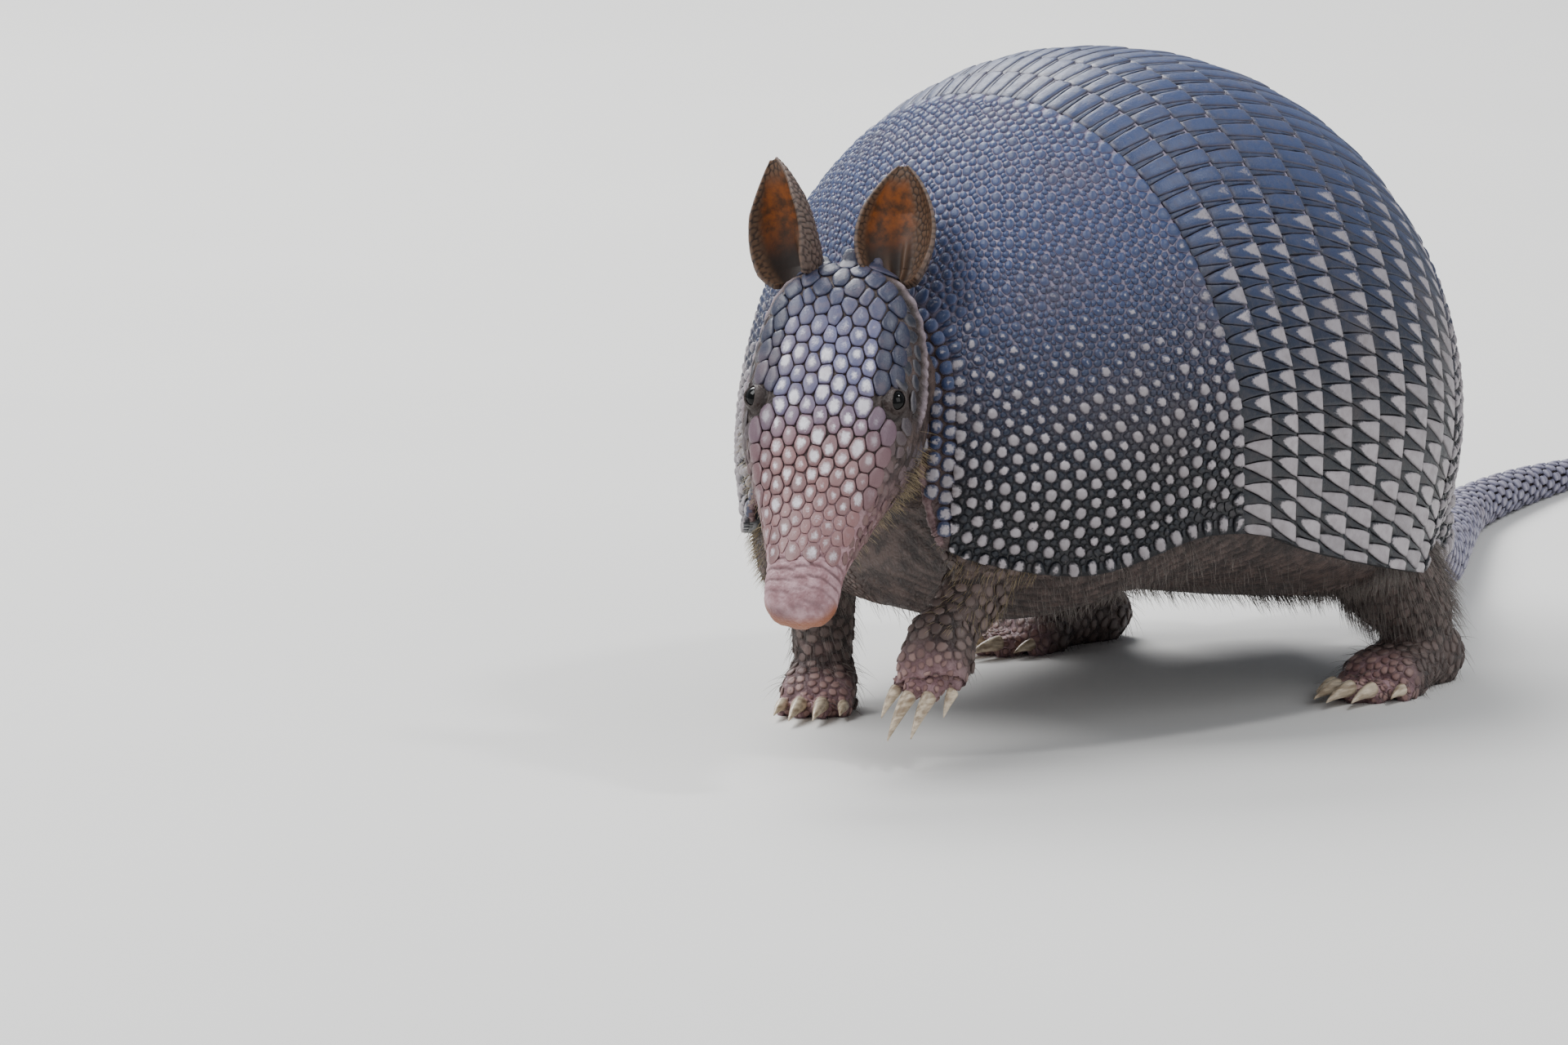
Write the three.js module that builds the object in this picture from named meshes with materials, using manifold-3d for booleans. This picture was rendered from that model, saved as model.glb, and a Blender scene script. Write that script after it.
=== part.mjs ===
// A nine-banded armadillo, life size, standing with its head turned to its left and lowered.
// Millimetres. x runs to the animal's left, y to its rear, z up; the floor is z = 0.
import * as THREE from "three";
import Module from "manifold-3d";

const wasm = await Module();
wasm.setup();

// ---- where the middle of the whole animal lies, measured from the middle of the shell
const MIDDLE_LEFT = -20.55;
const MIDDLE_REAR = 117.68;

// ---- shell: a fan of arched sections, from +90 degrees at the front to -90 at the rear
const SHELL_TOP = 181.5;
const SHELL_FRONT = 100;
const SHELL_REAR = 135;
const SHELL_HALF_WIDTH = 89.6;
const SHELL_HALF_FRONT = 37;
const SHELL_HALF_REAR = 50;
const SHELL_TAPER_FRONT = 3.2;
const SHELL_TAPER_REAR = 4.1;
const SHELL_LEAN_FRONT = 0.8;
const SHELL_LEAN_REAR = 0.61;
const SHELL_ROUND_ACROSS = 0.9;
const SHELL_ROUND_UP = 0.95;
const SHELL_ROUND_REAR = 0.885;
const SHELL_CURL = 0.055;
// section angle, height of the lower rim
const SHELL_RIM = [[-90, 30], [-45, 36], [-22, 42], [0, 50], [18, 58], [30, 59], [52, 50], [72, 54], [90, 60]];

const PLATE = 4;
const PLATE_GAP = 0.25;
const FLESH_GAP = 1.4;
const CLEARANCE = 0.35;
const SHINGLE = 1;
const AROUND_STEPS = 20;

const BANDS = 9;
const BAND_FIRST = 21.7;
const BAND_PITCH = 7.43;
const BAND_LAST = BAND_FIRST - BANDS * BAND_PITCH;
const NECK_OPENING_TOP = 57;
const NECK_OPENING_SIDE = 84;
const TAIL_NOTCH = 15;

// ---- trunk: section angle, drop of the belly below the rim
const BELLY = [[-78, 7], [-60, 15], [-30, 22], [0, 26], [30, 31], [50, 24], [64, 9]];
const TRUNK_FIRST = -78;
const TRUNK_LAST = 64;
const TRUNK_RINGS = 15;

// ---- head: its own axis runs from between the ears to the nose
const HEAD_FROM = { left: 2, forward: 102, up: 133.8 };
const HEAD_YAW = 29.6;
const HEAD_PITCH = 51.4;
// distance along the axis, half width, height above the axis, depth below it
const HEAD = [
  [-2, 9, -3, 12], [3, 15.5, 1.5, 17], [10, 20, 5, 22.5], [20, 23, 7, 28], [32, 24.6, 8, 32.5], [43, 25.2, 8, 33.5],
  [54, 23.6, 7.5, 30.5], [64, 20.6, 7, 25.5], [75, 17, 6.5, 19.5], [86, 13.6, 6.5, 14.5], [95, 11.7, 6.8, 11.5],
  [103, 11.3, 7.5, 9.5], [107, 10.4, 7, 8.5], [109, 8, 5.4, 6.4],
];
const HEAD_SQUARE = 2.5;
const HEAD_POINTS = 16;

const EYE_RADIUS = 3.8;
const EYE_ALONG = 44.5;
const EYE_OUT = 19;
const EYE_UP = 2.6;

const EAR_LENGTH = 32;
const EAR_HALF_WIDTH = 10.8;
const EAR_THICK = 1.8;
const EAR_CUP = 7.5;
const EAR_ALONG = 4;
const EAR_OUT = 13.5;

// ---- tail: to the left, rearward, height of the middle, radius
const TAIL = [
  [2, 104, 58, 21.5], [0, 122, 48, 20], [-5, 140, 36, 17.2], [-12, 158, 25, 14.6], [-22, 178, 16, 12.2],
  [-33, 199, 10.6, 10.6], [-53, 231, 8.7, 8.8], [-78, 270, 7.2, 7.3], [-93, 296, 6.4, 6.5], [-109, 340, 5.3, 5.4],
  [-118, 376, 4, 4.2], [-124, 402, 2.6, 2.8],
];
const TAIL_RING = 10.5;
const TAIL_RINGED = 200;
const TAIL_STEP = 0.7;
const TAIL_POINTS = 10;
const TAIL_SPLITS = [0, 63, 126, 210];

// ---- feet: distance forward from the ankle, half width, underside, upperside
const FOREFOOT = [[-7, 5.5, 3, 13], [-1, 9, -1, 17], [7, 10.4, -1, 14.5], [13, 10.4, -0.6, 10.8], [15.5, 8.6, 0.6, 8]];
const HINDFOOT = [
  [-14, 5, 3, 11], [-8, 8.4, -1, 16], [4, 9.4, -1, 18.5], [16, 10.8, -1, 14.5], [26, 12, -0.8, 11.4],
  [29.5, 10, 0.6, 8.8],
];
// toe: to the side, root, tip, radius, claw length
const FORETOES = [[-7.6, 9, 19, 2.7, 8.5], [-2.8, 10, 22, 3.3, 14], [2.6, 10, 21.5, 3.3, 13], [7.4, 8, 18, 2.6, 7]];
const HINDTOES = [
  [-9.6, 22, 33.5, 2.8, 6.5], [-5, 26, 40, 3.3, 10.5], [0, 27, 42.5, 3.5, 11.5], [5, 26, 40, 3.3, 10.5],
  [9.4, 21, 32, 2.7, 6],
];
const CLAW_RADIUS = 0.72;

const SKIN_GREY = 0x6d625c;
const FACE_PINK = 0xa08a82;
const SHELL_GREY = 0x6f7078;
const BAND_GREY = 0x8a8580;
const CLAW_HORN = 0xb9a58c;
const EYE_BLACK = 0x0a0807;

const radians = (degrees) => (degrees * Math.PI) / 180;
const mix = (a, b, t) => a + (b - a) * t;
const clamp = (t) => Math.min(1, Math.max(0, t));
const bent = (t, power) => Math.sign(t) * Math.abs(t) ** power;

function smooth(from, to, at) {
  const t = clamp((at - from) / (to - from));
  return t * t * (3 - 2 * t);
}

function table(rows, at, column = 1) {
  let i = 0;
  while (i < rows.length - 2 && at > rows[i + 1][0]) {
    i += 1;
  }
  const t = clamp((at - rows[i][0]) / (rows[i + 1][0] - rows[i][0]));
  return mix(rows[i][column], rows[i + 1][column], t);
}

// a point given as left, forward and up from the floor under the middle of the shell
function place(left, forward, up) {
  return new THREE.Vector3(left - MIDDLE_LEFT, -forward - MIDDLE_REAR, up);
}

// ---- building closed bodies

function closedBody(points, faces) {
  const geometry = new THREE.BufferGeometry();
  const flat = points.flatMap((p) => [p.x, p.y, p.z]);
  let volume = 0;
  for (const [a, b, c] of faces) {
    volume += points[a].dot(new THREE.Vector3().crossVectors(points[b], points[c]));
  }
  const index = faces.flatMap(([a, b, c]) => (volume < 0 ? [a, c, b] : [a, b, c]));
  geometry.setAttribute("position", new THREE.Float32BufferAttribute(flat, 3));
  geometry.setIndex(index);
  return geometry;
}

// a skin through closed rings of points, with a flat or pointed cap at each end
function loft(rings) {
  const count = rings[0].length;
  const points = rings.flat();
  const faces = [];
  for (let i = 0; i < rings.length - 1; i += 1) {
    for (let j = 0; j < count; j += 1) {
      const a = i * count + j;
      const b = i * count + ((j + 1) % count);
      faces.push([a, b, a + count], [b, b + count, a + count]);
    }
  }
  for (const [at, flip] of [[0, true], [rings.length - 1, false]]) {
    const centre = rings[at].reduce((sum, p) => sum.add(p), new THREE.Vector3()).divideScalar(count);
    const middle = points.push(centre) - 1;
    for (let j = 0; j < count; j += 1) {
      const a = at * count + j;
      const b = at * count + ((j + 1) % count);
      faces.push(flip ? [b, a, middle] : [a, b, middle]);
    }
  }
  return closedBody(points, faces);
}

// a curved slab between two grids of points
function slab(outer, inner) {
  const rows = outer.length;
  const columns = outer[0].length;
  const points = [...outer.flat(), ...inner.flat()];
  const under = rows * columns;
  const faces = [];
  const quad = (a, b, c, d) => faces.push([a, b, c], [a, c, d]);
  for (let i = 0; i < rows - 1; i += 1) {
    for (let j = 0; j < columns - 1; j += 1) {
      const a = i * columns + j;
      quad(a, a + 1, a + columns + 1, a + columns);
      quad(under + a, under + a + columns, under + a + columns + 1, under + a + 1);
    }
  }
  for (let j = 0; j < columns - 1; j += 1) {
    const last = (rows - 1) * columns + j;
    quad(j, under + j, under + j + 1, j + 1);
    quad(last, last + 1, under + last + 1, under + last);
  }
  for (let i = 0; i < rows - 1; i += 1) {
    const first = i * columns;
    const last = first + columns - 1;
    quad(first, first + columns, under + first + columns, under + first);
    quad(last, under + last, under + last + columns, last + columns);
  }
  return closedBody(points, faces);
}

function solid(geometry) {
  return new wasm.Manifold(new wasm.Mesh({
    numProp: 3,
    vertProperties: new Float32Array(geometry.getAttribute("position").array),
    triVerts: new Uint32Array(geometry.getIndex().array),
  }));
}

// the largest single body of a solid, as geometry
function body(shape) {
  const parts = shape.decompose().sort((a, b) => b.volume() - a.volume());
  const mesh = parts[0].getMesh();
  const geometry = new THREE.BufferGeometry();
  geometry.setAttribute("position", new THREE.BufferAttribute(new Float32Array(mesh.vertProperties), 3));
  geometry.setIndex(new THREE.BufferAttribute(new Uint32Array(mesh.triVerts), 1));
  return geometry;
}

function less(geometry, ...others) {
  let shape = solid(geometry);
  for (const other of others) {
    shape = shape.subtract(solid(other));
  }
  return body(shape);
}

// an oval ring about a centre, in the plane of the two given directions
function oval(centre, side, up, halfWidth, above, below, square, count) {
  const ring = [];
  for (let j = 0; j < count; j += 1) {
    const turn = (2 * Math.PI * (j + 0.5)) / count;
    const across = halfWidth * bent(Math.cos(turn), 2 / square);
    const rise = bent(Math.sin(turn), 2 / square);
    const middle = (above - below) / 2;
    const height = middle + rise * (above + below) / 2;
    ring.push(centre.clone().addScaledVector(side, across).addScaledVector(up, height));
  }
  return ring;
}

const onFloor = (ring) => ring.map((p) => new THREE.Vector3(p.x, p.y, Math.max(0, p.z)));

// ---- shell

function shellPoint(section, around, inset) {
  const sine = Math.sin(radians(section));
  const front = sine > 0;
  const lean = front ? mix(SHELL_LEAN_FRONT, 1, smooth(20, 90, section)) : SHELL_LEAN_REAR;
  const reach = (front ? SHELL_FRONT : SHELL_REAR) - inset;
  const end = front ? SHELL_HALF_FRONT : SHELL_HALF_REAR;
  const taper = front ? SHELL_TAPER_FRONT : SHELL_TAPER_REAR;
  const half = mix(SHELL_HALF_WIDTH, end, Math.abs(sine) ** taper) - inset;
  const over = bent(Math.cos(radians(around)), SHELL_ROUND_UP);
  const across = bent(Math.sin(radians(around)), SHELL_ROUND_ACROSS);
  const rise = Math.abs(Math.cos(radians(section))) ** (front ? 1 : SHELL_ROUND_REAR);
  const rim = table(SHELL_RIM, section);
  const curl = 1 - SHELL_CURL * smooth(68, 90, Math.abs(around));
  const forward = reach * sine * (lean + (1 - lean) * over);
  return place(half * across * curl, forward, rim + (SHELL_TOP - inset - rim) * rise * over);
}

const neckEdge = (around) => mix(NECK_OPENING_TOP, NECK_OPENING_SIDE, smooth(8, 80, Math.abs(around)));
const tailEdge = (around) => -90 + TAIL_NOTCH * (1 - smooth(20, 42, Math.abs(around)));

// a plate of the shell between two edges, its front edge tucked lower by the given step
function plate(frontEdge, rearEdge, rows, tuck, grow = 0) {
  const outer = [];
  const inner = [];
  for (let i = 0; i <= rows; i += 1) {
    const outerRow = [];
    const innerRow = [];
    for (let j = 0; j <= AROUND_STEPS; j += 1) {
      const around = (90 + grow) * mix(-1, 1, j / AROUND_STEPS);
      const section = mix(frontEdge(around) + grow, rearEdge(around), i / rows);
      outerRow.push(shellPoint(section, around, tuck * (1 - i / rows) - grow));
      innerRow.push(shellPoint(section, around, PLATE + grow));
    }
    outer.push(outerRow);
    inner.push(innerRow);
  }
  return slab(outer, inner);
}

function band(number) {
  const front = BAND_FIRST - (number - 1) * BAND_PITCH - PLATE_GAP / 2;
  const rear = BAND_FIRST - number * BAND_PITCH + PLATE_GAP / 2;
  return plate(() => front, () => rear, 1, SHINGLE);
}

// ---- trunk

function trunkRing(section, grow) {
  const ring = [];
  const inset = PLATE + FLESH_GAP - grow;
  for (let j = 0; j <= AROUND_STEPS - 4; j += 1) {
    ring.push(shellPoint(section, mix(-87, 87, j / (AROUND_STEPS - 4)), inset));
  }
  const edge = ring.at(-1);
  const middle = -MIDDLE_LEFT;
  const drop = table(BELLY, section) + grow;
  for (let j = 1; j < 7; j += 1) {
    const turn = (Math.PI * j) / 7;
    const x = middle + (edge.x - middle) * Math.cos(turn);
    ring.push(new THREE.Vector3(x, edge.y, edge.z - drop * Math.sin(turn) ** 0.8));
  }
  return ring;
}

function trunk(grow = 0) {
  const rings = [];
  for (let i = 0; i <= TRUNK_RINGS; i += 1) {
    rings.push(trunkRing(mix(TRUNK_LAST, TRUNK_FIRST, i / TRUNK_RINGS), grow));
  }
  return loft(rings);
}

// ---- head

const yaw = radians(HEAD_YAW);
const pitch = radians(HEAD_PITCH);
const headAlong = new THREE.Vector3(Math.cos(pitch) * Math.sin(yaw), -Math.cos(pitch) * Math.cos(yaw), -Math.sin(pitch));
const headSide = new THREE.Vector3(Math.cos(yaw), Math.sin(yaw), 0);
const headUp = new THREE.Vector3(Math.sin(pitch) * Math.sin(yaw), -Math.sin(pitch) * Math.cos(yaw), Math.cos(pitch));

function headPlace(along, out, up) {
  return place(HEAD_FROM.left, HEAD_FROM.forward, HEAD_FROM.up)
    .addScaledVector(headAlong, along)
    .addScaledVector(headSide, out)
    .addScaledVector(headUp, up);
}

function head(grow = 0) {
  const rings = HEAD.map(([along, halfWidth, above, below], i) => {
    const push = i === 0 ? -grow : i === HEAD.length - 1 ? grow : 0;
    return oval(headPlace(along + push, 0, 0), headSide, headUp, halfWidth + grow, above + grow, below + grow,
      HEAD_SQUARE, HEAD_POINTS);
  });
  return loft(rings);
}

function eye(side, grow = 0) {
  const ball = new THREE.IcosahedronGeometry(EYE_RADIUS + grow, 1);
  const centre = headPlace(EYE_ALONG, side * EYE_OUT, EYE_UP);
  ball.translate(centre.x, centre.y, centre.z);
  return body(ballSolid(ball));
}

function ballSolid(ball) {
  const keys = new Map();
  const points = [];
  const index = [];
  const position = ball.getAttribute("position");
  for (let i = 0; i < position.count; i += 1) {
    const p = new THREE.Vector3().fromBufferAttribute(position, i);
    const key = [p.x, p.y, p.z].map((v) => v.toFixed(4)).join(" ");
    if (!keys.has(key)) {
      keys.set(key, points.push(p) - 1);
    }
    index.push(keys.get(key));
  }
  const faces = [];
  for (let i = 0; i < index.length; i += 3) {
    faces.push([index[i], index[i + 1], index[i + 2]]);
  }
  return solid(closedBody(points, faces));
}

// a cupped leaf: root and direction on the head, and the way its hollow side faces
function ear(side) {
  const lean = side > 0 ? [-9, 13, 29.5] : [-15, 4, 33];
  const face = side > 0 ? [0.62, -0.78, 0.05] : [-0.12, -0.99, 0.05];
  const up = new THREE.Vector3(...lean).normalize();
  const facing = new THREE.Vector3(...face);
  facing.addScaledVector(up, -facing.dot(up)).normalize();
  const across = new THREE.Vector3().crossVectors(up, facing);
  const root = headPlace(EAR_ALONG, side * EAR_OUT, -3);
  const outer = [];
  const inner = [];
  for (let i = 0; i <= 8; i += 1) {
    const along = i / 8;
    const half = EAR_HALF_WIDTH * Math.sin(Math.PI * mix(0.16, 0.975, along ** 0.9)) ** 0.75;
    const cup = EAR_CUP * mix(1.15, 0.45, along);
    const outerRow = [];
    const innerRow = [];
    for (let j = 0; j <= 5; j += 1) {
      const v = mix(-1, 1, j / 5);
      const shape = root.clone()
        .addScaledVector(up, (EAR_LENGTH + 3) * along)
        .addScaledVector(across, half * Math.sin(v * 1.25) / Math.sin(1.25))
        .addScaledVector(facing, cup * (v * v - 0.6) - 2.5 * along * along);
      outerRow.push(shape.clone().addScaledVector(facing, -EAR_THICK / 2));
      innerRow.push(shape.clone().addScaledVector(facing, EAR_THICK / 2));
    }
    outer.push(outerRow);
    inner.push(innerRow);
  }
  return slab(outer, inner);
}

// ---- neck: forward, height of the middle, half width, half height, to the left
const NECK = [[68, 86, 25, 24, 0], [84, 88, 26, 24.5, 0], [92, 95, 25.5, 27, 0.5], [100, 103, 23, 26, 2], [108, 105, 18, 20, 5]];

function neck() {
  const side = new THREE.Vector3(1, 0, 0);
  const up = new THREE.Vector3(0, 0, 1);
  return loft(NECK.map(([forward, height, half, tall, left]) =>
    oval(place(left, forward, height), side, up, half, tall, tall, 2.2, 16)));
}

// ---- limbs: each station is left, forward, up, radius
const FORELEG_DOWN = [[-46, 62, 80, 19], [-47, 60, 56, 15.5], [-46, 58.5, 38, 12], [-45, 57, 24, 9.8], [-44.5, 57, 10, 8.4]];
const FORELEG_RAISED = [[40, 62, 74, 17], [37, 71, 60, 13.5], [34, 79, 51, 11], [32.5, 86, 43, 9.6], [32, 97, 32, 8.2]];
const HINDLEG = [[44, -52, 76, 23], [50, -57, 54, 20], [54, -66, 37, 17], [57, -76, 23, 13], [58, -82, 10, 8.8]];
const HIND_STRIDE = 8;

function limb(stations, mirror = 1, stride = 0) {
  const centres = stations.map(([left, forward, up]) => place(left * mirror, forward + stride, up));
  return loft(centres.map((centre, i) => {
    const before = centres[Math.max(0, i - 1)];
    const after = centres[Math.min(centres.length - 1, i + 1)];
    const along = after.clone().sub(before).normalize();
    const side = new THREE.Vector3(1, 0, 0).addScaledVector(along, -along.x).normalize();
    const front = new THREE.Vector3().crossVectors(along, side);
    const radius = stations[i][3];
    return oval(centre, side, front, radius * 0.92, radius, radius, 2, 10);
  }));
}

// a foot stands in its own frame: forward, side and up from the ankle's place on the sole
function footFrame(left, forward, up, turn, dip) {
  const ahead = new THREE.Vector3(Math.sin(radians(turn)) * Math.cos(radians(dip)),
    -Math.cos(radians(turn)) * Math.cos(radians(dip)), -Math.sin(radians(dip)));
  const side = new THREE.Vector3(Math.cos(radians(turn)), Math.sin(radians(turn)), 0);
  const rise = new THREE.Vector3().crossVectors(ahead, side);
  const origin = place(left, forward, up);
  const at = (f, s, h) => origin.clone().addScaledVector(ahead, f).addScaledVector(side, s).addScaledVector(rise, h);
  return { ahead, side, rise, at, rests: dip === 0 };
}

function foot(frame, stations, toes, grow = 0) {
  let shape = solid(loft(stations.map(([along, half, below, above], i) => {
    const push = i === 0 ? -grow : i === stations.length - 1 ? grow : 0;
    return oval(frame.at(along + push, 0, 0), frame.side, frame.rise, half + grow, above + grow, grow - below, 2.6, 10);
  })));
  for (const [out, root, tip, radius] of toes) {
    const rings = [[root, 1.05, 1.15], [mix(root, tip, 0.6), 1.05, 0.85], [tip, 0.8, 0.72]];
    shape = shape.add(solid(loft(rings.map(([along, size, height], i) => {
      const r = radius * size + grow;
      const push = i === 2 ? grow : 0;
      const spread = out * mix(1, 1.12, (along - root) / (tip - root));
      return oval(frame.at(along + push, spread, height * radius), frame.side, frame.rise, r, r, r, 2, 6);
    }))));
  }
  return body(frame.rests ? shape.trimByPlane([0, 0, 1], 0) : shape);
}

function claw(frame, [out, root, tip, radius, length]) {
  const rings = [];
  for (const t of [0, 0.35, 0.7, 1]) {
    const r = radius * CLAW_RADIUS * mix(1, 0.12, t ** 1.4);
    const along = tip + 0.3 + length * t;
    const height = radius * 0.95 + 0.9 * t - 0.55 * radius * t * t + r * 0.2;
    const centre = frame.at(along, out * mix(1.12, 1.2, t), Math.max(height, r + 0.4));
    rings.push(oval(centre, frame.side, frame.rise, r * 0.85, r, r, 2, 6));
  }
  return loft(rings);
}

// ---- tail

const tailCurve = new THREE.CatmullRomCurve3(TAIL.map(([left, rear, up]) => place(left, -rear, up)), false, "centripetal");
const tailLength = tailCurve.getLength();
const tailMarks = TAIL.map(([left, rear, up], i) => [i / (TAIL.length - 1), TAIL[i][3]]);

function tailRing(distance, radius) {
  const t = tailCurve.getUtoTmapping(clamp(distance / tailLength));
  const centre = tailCurve.getPoint(t);
  const along = tailCurve.getTangent(t);
  const side = new THREE.Vector3(-along.y, along.x, 0).normalize();
  const up = new THREE.Vector3().crossVectors(along, side).normalize();
  return onFloor(oval(centre, side, up, radius, radius, radius, 2, TAIL_POINTS));
}

function tailRadius(distance) {
  return table(tailMarks, tailCurve.getUtoTmapping(clamp(distance / tailLength)));
}

function tailLengthPiece(number) {
  const from = TAIL_SPLITS[number - 1] + (number > 1 ? PLATE_GAP : 0);
  const to = number < TAIL_SPLITS.length ? TAIL_SPLITS[number] - PLATE_GAP / 2 : tailLength;
  const rings = [];
  const step = from >= TAIL_RINGED ? 2 * TAIL_RING : TAIL_RING;
  const lip = from >= TAIL_RINGED ? 0 : TAIL_STEP;
  for (let at = from; at < to - 1; at += step) {
    const end = Math.min(at + step, to);
    rings.push(tailRing(at, tailRadius(at) - lip));
    if (lip > 0 || end === to) {
      rings.push(tailRing(end - (end < to ? PLATE_GAP : 0), tailRadius(end)));
    }
  }
  return loft(rings);
}

// ---- assembly

const group = new THREE.Group();
group.name = "armadillo";

function add(name, geometry, slot, colour, roughness) {
  const material = new THREE.MeshStandardMaterial({ color: colour, roughness, metalness: 0, name: slot });
  const mesh = new THREE.Mesh(geometry, material);
  mesh.name = name;
  group.add(mesh);
}

const feet = {
  forefoot_right: footFrame(-44.5, 56.6, 0, 30, 0),
  forefoot_left: footFrame(31, 91.5, 27, 12, 34),
  hindfoot_left: footFrame(58, -82, 0, 8, 0),
  hindfoot_right: footFrame(-58, -82 + HIND_STRIDE, 0, -8, 0),
};

const bodyGrown = trunk(CLEARANCE);
const scapular = plate(neckEdge, () => BAND_FIRST + PLATE_GAP / 2, 7, 0);
const shellGrown = [
  plate(neckEdge, () => BAND_FIRST, 7, 0, CLEARANCE),
  plate(() => BAND_FIRST, () => BAND_LAST, BANDS, 0, CLEARANCE),
  plate(() => BAND_LAST, tailEdge, 5, 0, CLEARANCE),
];
const headGrown = head(CLEARANCE);

add("trunk", trunk(), "skin", SKIN_GREY, 0.8);
add("scapular_shield", scapular, "shell", SHELL_GREY, 0.6);
for (let number = 1; number <= BANDS; number += 1) {
  add(`band_${number}`, band(number), "band", BAND_GREY, 0.6);
}
add("pelvic_shield", plate(() => BAND_LAST - PLATE_GAP / 2, tailEdge, 5, SHINGLE), "shell", SHELL_GREY, 0.6);

add("head", less(head(), eye(1, CLEARANCE), eye(-1, CLEARANCE)), "face", FACE_PINK, 0.7);
add("neck", less(neck(), bodyGrown, headGrown, ...shellGrown), "skin", SKIN_GREY, 0.8);
for (const [name, side] of [["left", 1], ["right", -1]]) {
  add(`eye_${name}`, eye(side), "eye", EYE_BLACK, 0.15);
  add(`ear_${name}`, less(ear(side), headGrown), "ear", SKIN_GREY, 0.7);
}

const limbs = [
  ["foreleg_left", limb(FORELEG_RAISED), "forefoot_left", FOREFOOT, FORETOES],
  ["foreleg_right", limb(FORELEG_DOWN), "forefoot_right", FOREFOOT, FORETOES],
  ["hindleg_left", limb(HINDLEG), "hindfoot_left", HINDFOOT, HINDTOES],
  ["hindleg_right", limb(HINDLEG, -1, HIND_STRIDE), "hindfoot_right", HINDFOOT, HINDTOES],
];
for (const [legName, leg, footName, stations, toes] of limbs) {
  const frame = feet[footName];
  const tools = [bodyGrown, ...shellGrown, foot(frame, stations, toes, CLEARANCE)];
  add(legName, less(leg, ...tools), "skin", SKIN_GREY, 0.8);
  add(footName, foot(frame, stations, toes), "skin", SKIN_GREY, 0.8);
  toes.forEach((toe, i) => {
    add(`${footName.replace("foot", "claw")}_${i + 1}`, claw(frame, toe), "claw", CLAW_HORN, 0.5);
  });
}

for (let number = 1; number <= TAIL_SPLITS.length; number += 1) {
  const piece = tailLengthPiece(number);
  add(`tail_${number}`, number === 1 ? less(piece, bodyGrown, ...shellGrown) : piece, "tail", SHELL_GREY, 0.7);
}

export default group;
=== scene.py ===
import math

import bmesh
import bpy
import numpy as np
from mathutils import Matrix, Vector
from mathutils.kdtree import KDTree


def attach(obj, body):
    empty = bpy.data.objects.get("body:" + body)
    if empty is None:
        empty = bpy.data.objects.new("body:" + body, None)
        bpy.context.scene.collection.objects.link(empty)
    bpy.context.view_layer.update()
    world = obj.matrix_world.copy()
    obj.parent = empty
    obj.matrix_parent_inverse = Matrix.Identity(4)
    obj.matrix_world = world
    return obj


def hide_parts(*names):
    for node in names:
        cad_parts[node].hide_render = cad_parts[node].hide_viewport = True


# A nine-banded armadillo, life size: its skin, scutes, scales, claws, eyes and hair, built round the frame.
# Millimetres and degrees here, turned to metres when a mesh is made. x is the animal's left, y its rear and
# z up.
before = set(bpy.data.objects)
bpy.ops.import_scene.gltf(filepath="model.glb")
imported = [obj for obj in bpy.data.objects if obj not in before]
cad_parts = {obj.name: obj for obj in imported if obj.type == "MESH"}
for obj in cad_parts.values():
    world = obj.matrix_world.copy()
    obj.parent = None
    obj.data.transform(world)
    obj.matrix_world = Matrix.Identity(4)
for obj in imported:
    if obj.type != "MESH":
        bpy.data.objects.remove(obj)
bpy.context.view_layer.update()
MM = 0.001
draw = np.random.default_rng(9)

# ---- the body's measures, as in the part's source
MIDDLE_LEFT = -20.55
MIDDLE_REAR = 117.68

SHELL_TOP = 181.5
SHELL_FRONT = 100
SHELL_REAR = 135
SHELL_HALF_WIDTH = 89.6
SHELL_HALF_FRONT = 37
SHELL_HALF_REAR = 50
SHELL_TAPER_FRONT = 3.2
SHELL_TAPER_REAR = 4.1
SHELL_LEAN_FRONT = 0.8
SHELL_LEAN_REAR = 0.61
SHELL_ROUND_ACROSS = 0.9
SHELL_ROUND_UP = 0.95
SHELL_ROUND_REAR = 0.885
SHELL_CURL = 0.055
SHELL_RIM = [[-90, 30], [-45, 36], [-22, 42], [0, 50], [18, 58], [30, 59], [52, 50], [72, 54], [90, 60]]
PLATE = 4
PLATE_GAP = 0.25
FLESH_GAP = 1.4
SHINGLE = 1
BANDS = 9
BAND_FIRST = 21.7
BAND_PITCH = 7.43
BAND_LAST = BAND_FIRST - BANDS * BAND_PITCH
NECK_OPENING_TOP = 57
NECK_OPENING_SIDE = 84
TAIL_NOTCH = 15
BELLY = [[-78, 7], [-60, 15], [-30, 22], [0, 26], [30, 31], [50, 24], [64, 9]]

# each row is the distance along the head, half its width, and its height above and below the middle line
HEAD = [
    [-2, 9, -3, 12], [3, 15.5, 1.5, 17], [10, 20, 5, 22.5], [20, 23, 7, 28], [32, 24.6, 8, 32.5],
    [43, 25.2, 8, 33.5], [54, 23.6, 7.5, 30.5], [64, 20.2, 7, 25.5], [75, 16.3, 6.5, 19.5],
    [86, 12.9, 6.5, 14.5], [95, 10.7, 6.8, 11.5], [103, 10.3, 7.3, 9.5], [107, 9.6, 6.8, 8.5],
    [109, 7.6, 5.4, 6.4],
]
HEAD_FROM = (2, 102, 133.8)
HEAD_YAW = 29.6
HEAD_PITCH = 51.4
HEAD_SQUARE = 2.5
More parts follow.
